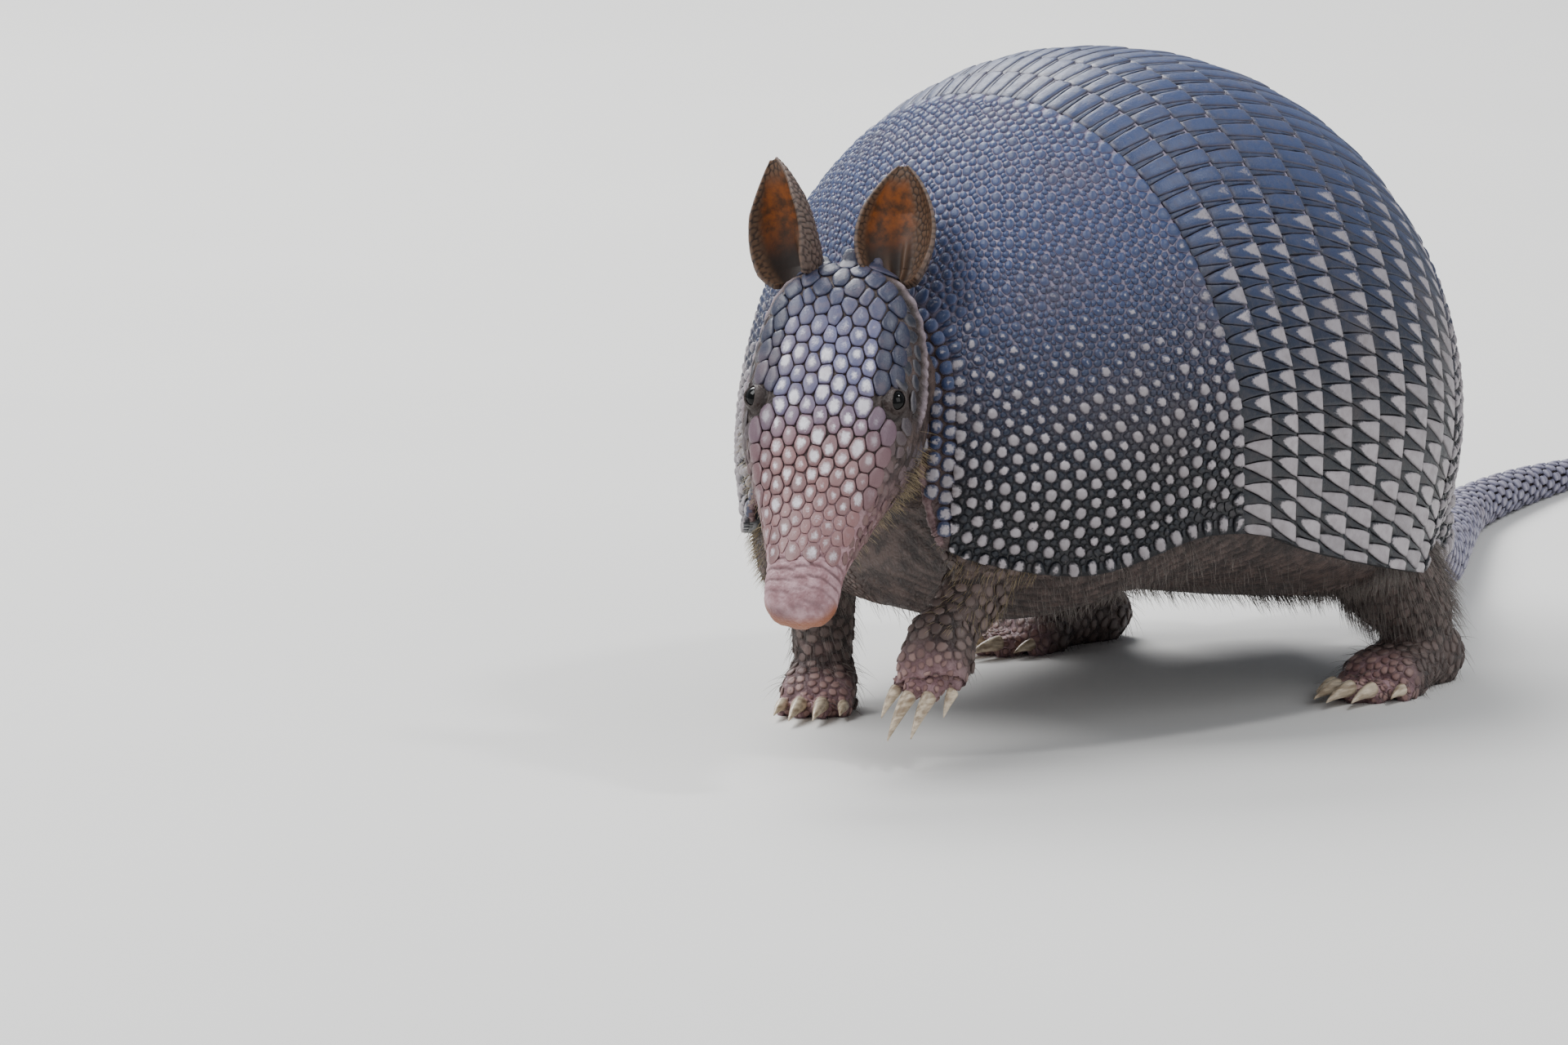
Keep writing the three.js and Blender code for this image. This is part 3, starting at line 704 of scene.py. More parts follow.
def wedge_paleness(up, across, v, grain):
    """A pale wedge on a wide scute, from its rear edge forward, larger low on the flank."""
    size = curve(BAND_PALE, up) + (grain - 0.5) * 0.24
    size = max(size, 0.26 * (grain > 0.86))
    long = mix(0.1, 0.74, size) + 0.4 * smooth(0.84, 1.0, size)
    broad = mix(0.02, 0.52, min(size * 1.15, 1))
    t = 1 - (1 - v) / long
    return clamp(0.5 + 2.6 * np.minimum(broad * bent(t, 0.7) - across, (t * long) * 1.2))


def band(number, look):
    """One band: its plate, a row of wide wedges, and a row of narrow ones between them."""
    front = BAND_FIRST - (number - 1) * BAND_PITCH - PLATE_GAP / 2
    rear = BAND_FIRST - number * BAND_PITCH + PLATE_GAP / 2
    around = np.linspace(-90, 90, 361)
    arc = arc_from(0, around, shell_point(mix(front, rear, 0.6), around))
    count = int(arc[-1] / SCUTE_PITCH)
    pitch = arc[-1] / (count + 0.5)
    u = (np.arange(-count - 1, count + 1) + (0.5 if number % 2 else 0.0)) * pitch
    u = u[np.abs(u) < arc[-1] + 0.2 * pitch]
    noise = draw.random(len(u))
    middle = shell_point(mix(front, rear, 0.8), np.interp(u, arc, around))
    slates = paleness(middle)[1]
    sways = 0.27 * clamp(-u / 18, -1, 1)
    parts = [plate_base(front, rear, 6, SHINGLE, 0.4)]
    for wide in (True, False):
        for at, up, slate, sway, grain in zip(u, middle[:, 2], slates, sways, noise):
            outline = wedge(wide, slate, smooth(74, 56, up), sway, grain)
            centre = np.array([outline[:, 0].mean(), 0.66 if wide else 0.3])
            lift = (0.5 if wide else 0.28) * mix(0.65, 1.3, grain)
            rings = [centre + (outline - centre) * share for share, _ in BAND_DOME]
            ring = np.concatenate(rings + [centre[None]])
            height = np.append(np.repeat([h * lift for _, h in BAND_DOME], len(outline)), lift)
            across, v = ring.T
            turn = np.interp(at + across * pitch, arc, around)
            section = np.maximum(mix(front, rear, v), rear - 0.12)
            points = shell_point(section, turn, height - SHINGLE * (1 - clamp(v)))
            # the outline goes round the other way, so its faces are turned
            faces = dome_faces(1, len(outline), len(BAND_DOME))[:, ::-1]
            share = ring_rows(BAND_DOME, len(outline))
            pale = wedge_paleness(up, np.abs(across - sway * (1 - v)), v, grain) if wide else 0
            edge = smooth(0.94, 1.0, share) * mix(0.4, 1, abs(slate - 0.5) * 2)
            # high is the painted sky reflection of the back, less on narrow scutes, with painted shade on
            # each scute's front under the band ahead and towards its rim
            high = slate * mix(0.8, 1.08, grain) * (1 if wide else 0.6) * mix(0.65, 1, smooth(0, 0.4, v))
            high = high * (1 - 0.6 * smooth(0.8, 0.98, share))
            parts.append((points, faces, columns(pale, edge, grain, high), shell_uv(section, turn)))
    make_piece(f"band_{number}_scutes", look, "band", [f"band_{number}"], *join(*parts))


# ---- places on the head and the feet

class Frame:
    """An origin with directions ahead, to the left and up, turned to the left and dipped by degrees."""

    def __init__(self, left, forward, up, turn, dip):
        turn, dip = math.radians(turn), math.radians(dip)
        level = math.cos(dip)
        self.ahead = np.array([math.sin(turn) * level, -math.cos(turn) * level, -math.sin(dip)])
        self.side = np.array([math.cos(turn), math.sin(turn), 0])
        self.up = np.cross(self.ahead, self.side)
        self.origin = place(left, forward, up)

    def at(self, along, out, up):
        """The point at these distances from the origin."""
        along, out, up = (v[..., None] for v in np.broadcast_arrays(along, out, up))
        return self.origin + along * self.ahead + out * self.side + up * self.up

    def local(self, points):
        """How far points are along, out to the left and up."""
        away = points - self.origin
        return dot(away, self.ahead), dot(away, self.side), dot(away, self.up)


HEAD_FRAME = Frame(*HEAD_FROM, HEAD_YAW, HEAD_PITCH)


def head_point(along, turn, lift=0.0):
    """The head's surface: along it, and round it in degrees from its left side over the top."""
    along, turn = np.broadcast_arrays(np.asarray(along, float), np.asarray(turn, float))
    half, above, below = (curve(HEAD, along, k) + lift for k in (1, 2, 3))
    cosine, sine = np.cos(np.radians(turn)), np.sin(np.radians(turn))
    out = half * bent(cosine, 2 / HEAD_SQUARE)
    up = (above - below) / 2 + bent(sine, 2 / HEAD_SQUARE) * (above + below) / 2
    return HEAD_FRAME.at(along, out, up)


def both_sides(along, out, up):
    """A place on the head's left and the same place on its right."""
    return [HEAD_FRAME.at(along, side * out, up) for side in (1, -1)]


def gap_to(points, centres):
    """The distance from each point to the nearest of the centres."""
    return np.min([np.linalg.norm(points - centre, axis=1) for centre in centres], axis=0)


def in_box(along, out, up, start, end, wide, low, high):
    """Which points lie in a stretch of the head or of a foot, by their places along, out and up."""
    return (along > start) & (along < end) & (np.abs(out) < wide) & (up > low) & (up < high)


EYES = both_sides(*EYE_PLACE)
EAR_ROOTS = both_sides(*EAR_PLACE)


def head_sites():
    """Staggered rows of sites over the top of the head, clear of the eyes, and the spacing at each."""
    turns = np.linspace(0, 180, 361)
    sites, size = [], []
    at, row = -1.0, 0
    while at < 95:
        pitch = mix(mix(CROWN_PITCH, BROW_PITCH, smooth(8, 18, at)), SNOUT_PITCH, smooth(52, 92, at))
        line = head_point(at, turns)
        arc = arc_from(90, turns, line)
        out = np.abs(HEAD_FRAME.local(line)[1])
        spacing = pitch * 1.3
        u = (np.arange(-20, 21) + 0.5 * (row % 2)) * spacing
        turn = np.interp(u, arc, turns)
        keep = (np.interp(u, arc, out) < curve(HEAD_SHIELD, at)) & (u > arc[0]) & (u < arc[-1])
        jitter = draw.normal(0, 0.04 * pitch, (keep.sum(), 2))
        sites.append(np.stack([at + jitter[:, 0], turn[keep] + jitter[:, 1] * 1.6], 1))
        size.append(np.full(keep.sum(), pitch))
        at += pitch * 0.53
        row += 1
    sites, size = np.concatenate(sites), np.concatenate(size)
    clear = gap_to(head_point(*sites.T), EYES) > 5.6
    return sites[clear], size[clear]


def head_shield(look):
    """Large domed scales on the top of the head, each with a pale spot of its own size and place."""
    sites, size = head_sites()
    along, turn = sites.T
    noise = draw.random(len(sites))
    lift = size * mix(0.08, 0.018, smooth(56, 92, along))
    made = scales(head_point, along, turn, (noise - 0.5) * size * 0.6, lift, HEAD_DOME, 18, groove=0.05,
                  limit=0.56 * size[:, None], sharp=11, tilt=0.02, stretch=1.5, step=1.5)
    points, faces, owner, share, reach, p, q = made
    out = np.abs(HEAD_FRAME.local(head_point(along, turn))[1])
    # the sides behind the eye have no spots, and the sides from the brow to the snout carry painted shade, in
    # a darker colour and seam
    flank = smooth(12.5, 15.5, out) * smooth(50, 44, along)
    shaded = smooth(11.5, 15.5, out) * smooth(94, 76, along) * smooth(4, 20, along)
    strength = (1 - flank) * smooth(17.5, 14, out) * smooth(8, 38, along)
    strength = strength * mix(0.45, 1.0, noise) * mix(1, 0.6, smooth(60, 90, along))
    spot = mix(0.44, 0.8, draw.random(len(sites)))[owner]
    shift = draw.normal(0, 0.16, len(sites))[owner]
    away = np.sqrt(np.maximum(share**2 - reach**2, 0) + (reach - shift) ** 2)
    away = away + draw.normal(0, 0.05, len(share))
    seam = smooth(0.95, 1.0, share) * mix(1, 0.25, smooth(62, 96, along))[owner]
    # from the eye forward, the painted shade on the sides also pulls the colour towards the seam colour
    seam = np.maximum(seam, (0.4 * shaded * smooth(44, 54, along))[owner])
    height = (0.5 * smooth(6, 32, along) + 0.5 * smooth(36, 70, along)) * (1 - 0.85 * flank)
    pale = strength[owner] * smooth(spot + 0.36, spot - 0.5, away)
    # the third value darkens at random, and most where the painted shade lies on the sides
    tone = columns(pale, seam, mix(noise, 1.7, shaded)[owner], height[owner])
    make_piece("head_scales", look, "face", (), points, faces, tone, spread_uv((p + 8) / 120, q / 180))


# ---- the lip along the shell's front edge

def lip_point(out, around, lift=0.0):
    """The soft lip that goes on from the shell's front edge towards the cheek, and rolls inward."""
    out, around = np.broadcast_arrays(np.asarray(out, float), np.asarray(around, float))
    edge = neck_edge(around)
    start = shell_point(edge, around)
    later, sooner = (shell_point(neck_edge(at), at) for at in (around + 0.5, around - 0.5))
    along = unit(later - sooner)
    outside = unit(shell_point(edge, around, 1.0) - start)
    outside = unit(outside - along * dot(outside, along)[..., None])
    ahead = np.cross(along, outside)
    ahead = ahead * np.sign(dot(ahead, shell_point(edge + 0.4, around) - start))[..., None]
    turn = out / LIP_ROLL
    across = (LIP_ROLL + lift) * np.sin(turn)
    inward = lift * np.cos(turn) - LIP_ROLL * (1 - np.cos(turn))
    return start + ahead * across[..., None] + outside * inward[..., None]


def lip_sheet():
    """The lip's skin."""
    turns = np.linspace(-89, 89, 301)[None]
    share = np.linspace(0, 1, 9)[:, None]
    crinkle = 0.22 * np.sin(turns * 1.7 + 3 * share) * share
    out = share * curve(LIP, turns)
    points, faces = slab(lip_point(out, turns, -0.35 + crinkle), lip_point(out, turns, -1.7 + crinkle))
    shade = np.tile(np.broadcast_to(0.6 * (1 - share), crinkle.shape).ravel(), 2)
    return points, faces, columns(0.12, shade, 0, 0.5)


def lip_edge():
    """The pale roll along the lip's free edge, thin at its ends."""
    count = 330
    turns = np.linspace(-88, 88, count)
    middle = lip_point(curve(LIP, turns), turns, -0.9)
    number = np.arange(count)
    size = 0.95 * smooth(0, 9, number) * smooth(count - 1, count - 10, number) + 0.25
    ahead = unit(np.gradient(middle, axis=0))
    side = unit(np.cross(ahead, np.array([0.2, -1.0, 0.1])))
    rings = []
    for i in range(count):
        thick = size[i] * (1 + 0.16 * math.sin(i * 0.47) + 0.12 * math.sin(i * 1.21))
        rings.append(oval(middle[i], side[i], np.cross(ahead[i], side[i]), thick, thick, thick, 2, 14))
    points, faces = loft(rings)
    return points, faces, columns(0.3, 0, 0, np.full(len(points), 0.5))


def lip_scutes(look):
    """Up to three rows of scutes on the lip, where it is wide enough for them."""
    turns = np.linspace(-88, 88, 700)
    sites = []
    for row, out in enumerate((1.6, 5.5, 9.2)):
        turn = turns[curve(LIP, turns) > out + 0.8]
        for half in (turn[turn < 0], turn[turn > 0]):
            if len(half) < 20:
                continue
            arc = length_along(lip_point(out, half))
            marks = (np.arange(int(arc[-1] / LIP_PITCH)) + 0.3 + 0.5 * (row % 2)) * LIP_PITCH
            sites.append(np.stack([np.full(len(marks), out), np.interp(marks, arc, half)], 1))
    out, turn = np.concatenate(sites).T
    noise = draw.random(len(out))
    lift = np.full(len(out), 0.85)
    made = scales(lip_point, out, turn, (noise - 0.5) * 1.2, lift, LIP_DOME, groove=0.1, limit=2.5)
    points, faces, owner, share, reach, p, q = made
    tone = shell_tone(share, reach, owner, lip_point(out, turn), noise, True)
    tone[:, 0] -= 0.2
    # more of the slate blue here, a painted sky reflection
    tone[:, 3] = mix(tone[:, 3], 1, 0.5)
    make_piece("collar_scutes", look, "shell", (), points, faces, tone, shell_uv(neck_edge(q) + p * 0.2, q))


# ---- eyes and ears

def eye_look_way(side):
    """The way an eye looks; side is 1 at the left and -1 at the right."""
    return unit(HEAD_FRAME.side * side * 0.56 + HEAD_FRAME.up * 0.81 + HEAD_FRAME.ahead * 0.12)


def eye_middle(side):
    """The middle of an eye's ball."""
    along, out, up = EYE_PLACE
    return HEAD_FRAME.at(along, side * out, up) - eye_look_way(side) * EYE_DEEPER


def eye(side, look, name):
    """The ball of the eye."""
    around, rings = 36, 24
    down = np.linspace(0.02, np.pi - 0.02, rings)[:, None]
    turn = 2 * np.pi * np.arange(around) / around
    grid = columns(np.sin(down) * np.cos(turn), np.sin(down) * np.sin(turn), np.cos(down))
    make_piece(name + "_ball", look, "eye", [name], *loft(eye_middle(side) + EYE_BALL * grid))


def ear(side, look, name):
    """A cupped leaf with a rolled edge, pebbled on the back and ridged at the opening."""
    up = unit(np.array(EAR_LEAN[side], float))
    facing = np.array(EAR_FACE[side])
    facing = unit(facing - up * dot(facing, up))
    across = np.cross(up, facing)
    along = np.linspace(0, 1, 90)[:, None]
    v = np.linspace(-1, 1, 71)[None]
    half = EAR_HALF_WIDTH * np.sin(np.pi * mix(0.16, 0.985, along**0.9)) ** 0.75
    cup = EAR_CUP * mix(EAR_FOLD[side], 0.75, along) * clamp(half / EAR_HALF_WIDTH / 0.85) ** 1.6
    rim = np.abs(v) ** 6
    outer_side = v * side
    border = np.maximum(smooth(*EAR_BORDER[side], outer_side), smooth(-0.7, -0.9, outer_side))
    border = np.maximum(border, smooth(0.78, 0.94, along))
    root = EAR_ROOTS[0 if side == 1 else 1]
    middle = root + up * ((EAR_LENGTH + EAR_SUNK) * along)[..., None]
    middle = middle + across * (half * np.sin(v * EAR_CURL) / math.sin(EAR_CURL))[..., None]
    middle = middle + facing * (cup * (v * v - 0.6) - 2.5 * along * along + 0.5 * rim)[..., None]
    thick = (EAR_THICK / 2) * mix(1.0, 0.62, along) * (1 - 0.45 * rim) * (1 - 0.5 * smooth(0.9, 1, along))
    down_ear, over_ear = np.gradient(middle, axis=(0, 1))
    normal = unit(np.cross(over_ear, down_ear))
    if dot(normal, facing).mean() < 0:
        normal = -normal
    grid = middle.reshape(-1, 3)
    pebble = pebbles(grid, grid[scattered(grid, 1.5)], 0.75).reshape(border.shape)
    ridge = 1.3 * np.exp(-((outer_side - 0.12) / 0.09) ** 2) * smooth(0.5, 0.2, along)
    ridge = ridge + 0.8 * np.exp(-((outer_side + 0.3) / 0.1) ** 2) * smooth(0.4, 0.1, along)
    back = thick + 0.34 * pebble * mix(1, 0.4, rim)
    front = thick + ridge + 0.2 * pebble * border * (1 - rim)
    outer, inner = middle - normal * back[..., None], middle + normal * front[..., None]
    edge = np.maximum(border, 0.8 * clamp(ridge))
    tone = np.stack([columns(0, pebble, edge, along), columns(1, mix(1, pebble, border), edge, along)])
    make_piece(name + "_leather", look, "ear", [name], *slab(outer, inner), tone.reshape(-1, 4))


def pebbles(points, grains, radius):
    """1 over the middle of a grain, 0 in the creases between grains."""
    tree = nearest(grains)
    first, second = np.array([[hit[2] for hit in tree.find_n(point, 2)] for point in points]).T
    return smooth(0, radius, second - first)


# ---- the bodies under the skin

def trunk_rings():
    """Rings of the trunk inside the shell, with the belly hanging between the rims."""
    rings = []
    turn = np.pi * np.arange(1, 20) / 20
    for section in np.linspace(64, -78, 60):
        upper = shell_point(section, np.linspace(-87, 87, 49), -(PLATE + FLESH_GAP + COAT))
        left, rear, height = upper[-1]
        drop = curve(BELLY, section) - COAT
        across = (left + MIDDLE_LEFT) * np.cos(turn) - MIDDLE_LEFT
        lower = columns(across, rear, height - drop * np.sin(turn) ** 0.8)
        rings.append(np.concatenate([upper, lower]))
    return rings


def shoulder_fold(side, drop):
    """The fold of skin that hangs below the shell's rim beside the neck."""
    rings = []
    for section in np.linspace(46, 88.5, 26):
        top, later, sooner = (shell_point(section + step, side * 88, -4.6) for step in (0, 0.5, -0.5))
        ahead = unit(later - sooner)
        end = math.sqrt(max(1 - max((section - 78) / 11, 0) ** 2, 0.02))
        half = mix(3.6, 2.8, smooth(60, 85, section)) * (0.4 + 0.6 * end)
        crinkle = 1 + 0.1 * math.sin(section * 1.1)
        below = mix(2.5, drop, smooth(48, 79, section)) * end
        rings.append(oval(top, unit(np.cross(ahead, UPWARD)), UPWARD, half * crinkle, 3.0, below, 2, 30))
    return loft(rings)


def neck_rings():
    """Rings of the neck, from inside the shell to the back of the head."""
    rings = []
    for forward in np.linspace(68, 108, 24):
        height, half, tall, left = (curve(NECK, forward, k) for k in (1, 2, 3, 4))
        tall = tall - COAT
        rings.append(oval(place(left, forward, height), LEFTWARD, UPWARD, half - COAT, tall, tall, 2.2, 40))
    return rings


def limb_rings(stations, mirror=1, stride=0, count=30):
    """Rings of a leg through its stations; mirror is -1 for the other side."""
    table = np.array([[i, *row] for i, row in enumerate(stations)], float)
    left, forward, up, radius = (curve(table, np.linspace(0, len(table) - 1, count), k) for k in (1, 2, 3, 4))
    centres = place(left * mirror, forward + stride, up)
    radius = radius - COAT
    rings = []
    for i, centre in enumerate(centres):
        along = unit(centres[min(i + 1, count - 1)] - centres[max(i - 1, 0)])
        side = unit(LEFTWARD - along * along[0])
        rings.append(oval(centre, side, np.cross(along, side), radius[i] * 0.92, radius[i], radius[i], 2, 28))
    return rings


class Foot(Frame):
    """A foot, from the ankle's place on its sole."""

    def __init__(self, left, forward, up, turn, dip, stations, toes):
        super().__init__(left, forward, up, turn, dip)
        self.stations = stations
        self.toes = toes

    def bodies(self):
        """The sole and the toes."""
        rings = []
        for along in np.linspace(self.stations[0][0], self.stations[-1][0], 24):
            half, low, high = (curve(self.stations, along, k) for k in (1, 2, 3))
            size = (half - COAT, high - COAT, -low - COAT)
            rings.append(oval(self.at(along, 0, 0), self.side, self.up, *size, 2.3, 28))
        return [loft(rings)] + [self.toe(*toe) for toe in self.toes]

    def toe(self, out, root, tip, radius, _):
        """One toe, with a knuckle."""
        rings = []
        for t in np.linspace(0, 1, 12):
            knuckle = 0.1 * math.cos(t * 9.0)
            size = radius * (mix(1.05, 0.84, t) + knuckle) * (1 - 0.3 * smooth(0.9, 1, t)) - COAT * 0.6
            centre = self.at(mix(root - 4, tip, t), out * mix(1, 1.12, t), radius * mix(1.12, 0.74, t))
            rings.append(oval(centre, self.side, self.up, size, size, size, 2, 18))
        return loft(rings)


FEET = {
    "forefoot_right": Foot(-44.5, 56.6, 0, 30, 0, FOREFOOT, FORETOES),
    "forefoot_left": Foot(31, 91.5, 27, 12, 34, FOREFOOT, FORETOES),
    "hindfoot_left": Foot(58, -82, 0, 8, 0, HINDFOOT, HINDTOES),
    "hindfoot_right": Foot(-58, -82 + HIND_STRIDE, 0, -8, 0, HINDFOOT, HINDTOES),
}


def tail_line():
    """Points, directions, radii and lengths down the middle of the tail, smooth through its stations."""
    steps = 420
    marks = np.array(TAIL, float)
    knots = place(marks[:, 0], -marks[:, 1], marks[:, 2])
    knots = np.concatenate([[2 * knots[0] - knots[1]], knots, [2 * knots[-1] - knots[-2]]])
    at = np.linspace(0, len(marks) - 1, steps)
    i = np.minimum(at.astype(int), len(marks) - 2)
    t = (at - i)[:, None]
    a, b, c, d = (knots[i + k] for k in range(4))
    ab, bc, cd = (np.linalg.norm(v, axis=1, keepdims=True) ** 0.5 for v in (b - a, c - b, d - c))
    leave = ((b - a) / ab - (c - a) / (ab + bc) + (c - b) / bc) * bc
    arrive = ((c - b) / bc - (d - b) / (bc + cd) + (d - c) / cd) * bc
    line = (2 * t**3 - 3 * t**2 + 1) * b + (t**3 - 2 * t**2 + t) * leave + (3 * t**2 - 2 * t**3) * c
    line = line + (t**3 - t**2) * arrive
    radius = np.interp(at, np.arange(len(marks)), marks[:, 3])
    return line, unit(np.gradient(line, axis=0)), radius, length_along(line)


TAIL_LINE, TAIL_AHEAD, TAIL_RADIUS, TAIL_LENGTH = tail_line()


def tail_point(distance, turn, lift=0.0):
    """The tail's surface: the distance down it, and round it in degrees."""
    distance, turn = np.broadcast_arrays(np.asarray(distance, float), np.asarray(turn, float))
    distance = clamp(distance, 0, TAIL_LENGTH[-1])
    centre, ahead = (np.stack([np.interp(distance, TAIL_LENGTH, line[:, k]) for k in range(3)], -1)
                     for line in (TAIL_LINE, TAIL_AHEAD))
    ahead = unit(ahead)
    side = unit(np.stack([-ahead[..., 1], ahead[..., 0], 0 * ahead[..., 0]], -1))
    up = unit(np.cross(ahead, side))
    up = up * np.sign(up[..., 2:])
    radius = np.interp(distance, TAIL_LENGTH, TAIL_RADIUS) + lift
    turn = np.radians(turn)
    point = centre + (radius * np.cos(turn))[..., None] * side + (radius * np.sin(turn))[..., None] * up
    point[..., 2] = np.maximum(point[..., 2], 0)
    return point


def skin_bodies():
    """All the bodies that the one skin goes round."""
    turns = 360 * (np.arange(64) + 0.5) / 64
    bodies = [loft(trunk_rings()), loft(neck_rings()), shoulder_fold(1, 7.0), shoulder_fold(-1, 17.0)]
    bodies.append(loft([head_point(along, turns, -COAT) for along in np.linspace(-2, 109, 90)]))
    for leg in ((FORELEG_RAISED,), (FORELEG_DOWN,), (HINDLEG,), (HINDLEG, -1, HIND_STRIDE)):
        bodies.append(loft(limb_rings(*leg)))
    for foot in FEET.values():
        bodies += foot.bodies()
    bodies.append(loft([tail_point(d, turns, -0.9) for d in np.linspace(0, TAIL_LENGTH[-1] - 0.4, 180)]))
    return join(*bodies)


# ---- skin

def remeshed(points, faces):
    """One closed skin round all the bodies."""
    mesh = bpy.data.meshes.new("bodies")
    mesh.from_pydata((points * MM).tolist(), [], faces.tolist())
    thing = bpy.data.objects.new("bodies", mesh)
    bpy.context.collection.objects.link(thing)
    change = thing.modifiers.new("one", "REMESH")
    change.mode = "VOXEL"
    change.voxel_size = VOXEL * MM
    soften = thing.modifiers.new("soften", "SMOOTH")
    soften.factor = 0.5
    soften.iterations = 5
    graph = bpy.context.evaluated_depsgraph_get()
    made = bpy.data.meshes.new_from_object(thing.evaluated_get(graph))
    bpy.data.objects.remove(thing)
    return made


def points_and_normals(mesh):
    """A mesh's points in millimetres and its normals."""
    flat = np.zeros((2, len(mesh.vertices) * 3))
    mesh.vertices.foreach_get("co", flat[0])
    mesh.vertices.foreach_get("normal", flat[1])
    return flat[0].reshape(-1, 3) / MM, flat[1].reshape(-1, 3)


def refine(mesh):
    """More points round the eyes and the nose, for lids and nostrils."""
    eye_reach, nose_reach = 9.5, 14.0
    eyes = [(Vector(centre), eye_reach) for centre in EYES]
    nose = [(Vector(HEAD_FRAME.at(105.0, 0, 0)), nose_reach)]
    made = bmesh.new()
    made.from_mesh(mesh)
    for spots, part in ((eyes + nose, 1.0), (eyes, 0.55)):
        edges = []
        for edge in made.edges:
            middle = (edge.verts[0].co + edge.verts[1].co) / 2 / MM
            if any((middle - centre).length < reach * part for centre, reach in spots):
                edges.append(edge)
        bmesh.ops.subdivide_edges(made, edges=edges, cuts=1, use_grid_fill=True)
    made.to_mesh(mesh)
    made.free()
    mesh.update()


class Face:
    """The skin's points while the face is shaped: where they are, how deep each is in a crease, which the
    skin's colour paints as shade, and how high on the pale fold that runs down the cheek from the ear."""

    def __init__(self, points, normals):
        self.points = points
        self.normals = normals
        self.along, self.out, self.up = HEAD_FRAME.local(points)
        self.moved = points.copy()
        self.crease = np.zeros(len(points))
        self.fold = np.zeros(len(points))

    def push(self, way, distance, crease=0.0):
        """Moves the points a distance each, and deepens their creases, whose depth is painted as shade."""
        self.moved = self.moved + way * distance[:, None]
        self.crease = np.maximum(self.crease, crease)

    def lids(self, side):
        """Lids with a lens-shaped opening round an eye, and rings of wrinkles outside them."""
        look = eye_look_way(side)
        away = self.points - eye_middle(side)
        ahead = dot(away, look)
        level = unit(HEAD_FRAME.ahead - look * dot(HEAD_FRAME.ahead, look))
        flat = away - look * ahead[:, None]
        wide, tall = dot(flat, level), dot(flat, np.cross(look, level))
        spread = np.hypot(wide, tall)
        slit = np.hypot(wide / EYE_HALF_LENGTH, tall / EYE_HALF_HEIGHT)
        lid = np.sqrt(np.maximum((EYE_BALL + LID_THICK) ** 2 - spread**2, 0.3))
        lid = lid + 0.25 * np.exp(-((slit - 1.2) / 0.16) ** 2)
        open_eye = np.sqrt(np.maximum(EYE_BALL**2 - spread**2, 0)) - SOCKET_DEPTH
        # behind the ball inside the slit, and just over the ball outside it
        raised = mix(open_eye, lid, smooth(0.9, 1.06, slit))
        hold = smooth(5.2, 3.0, spread) * (ahead > -4) * (ahead < 12)
        self.push(look, hold * (raised - ahead))
        folds = np.sin((slit - 1.05) * 5.4 + 0.5 * np.sin(3 * np.arctan2(tall, wide)))
        near = smooth(1.25, 1.7, slit) * smooth(4.4, 2.2, slit) * (ahead > -5) * (ahead < 10)
        self.push(self.normals, 0.34 * folds * near, clamp(-folds) * near)

    def wrinkles(self):
        """Wrinkles across the snout and along the cheeks."""
        along, out, up = self.along, self.out, self.up
        top = smooth(-6, 2, up)
        across = np.sin(along * 1.9 + 1.4 * np.sin(out * 0.45))
        across = across + 0.7 * np.sin(along * 3.7 - out * 0.9 + np.sin(out * 1.3))
        across = across * smooth(91, 96, along) * mix(1, 0.4, smooth(99, 104, along))
        self.push(self.normals, 0.17 * across * top, clamp(-across * top))
        cheek = smooth(8, 14, np.abs(out)) * smooth(2, -6, up)
        cheek = cheek * smooth(100, 84, along) * smooth(26, 40, along)
        lines = np.sin(up * 1.9 + 0.9 * np.sin(along * 0.35)) * cheek
        self.push(self.normals, 0.28 * lines, clamp(-lines))

    def cheek_fold(self):
        """The pale fold below the ear, with a deep cleft over it."""
        along, out, up = self.along, self.out, self.up
        beside = smooth(10, 15, np.abs(out)) * smooth(2, 7, along) * smooth(52, 40, along)
        over = up - curve(CHEEK_FOLD, along)
        self.fold = np.exp(-(over / 1.1) ** 2) * beside * (0.8 + 0.2 * np.sin(along * 1.9 + up))
        cleft = np.exp(-((over - 2.9) / 1.5) ** 2) * beside
        self.push(self.normals, 1.1 * self.fold - cleft * (1.3 + 0.5 * np.sin(along * 1.6)), 1.35 * cleft)

    def nose(self):
        """A blunt nose with two nostrils, and the line of the mouth."""
        along, out, up = self.along, self.out, self.up
        self.push(self.normals, 0.36 * (smooth(66, 92, along) * smooth(-6, 2, up)))
        blunt = smooth(99, 107.5, along) * ((out / 9) ** 2 + ((up + 1) / 7.5) ** 2)
        self.push(HEAD_FRAME.ahead, 2.8 * smooth(98, 108, along) - 2.2 * clamp(blunt, 0, 2.0))
        gap = gap_to(self.points, both_sides(*NOSTRIL))
        self.push(-HEAD_FRAME.ahead, 2.4 * smooth(2.0, 0.5, gap), smooth(2.2, 1.0, gap))
        gap = np.abs(up + 5.8 - 0.03 * (104 - along)) + 3.0 * smooth(60, 58, along)
        line = smooth(1.1, 0.2, gap) * smooth(56, 66, along) * smooth(105, 99, along) * (up < -2)
        self.push(-self.normals, 0.8 * line, line)


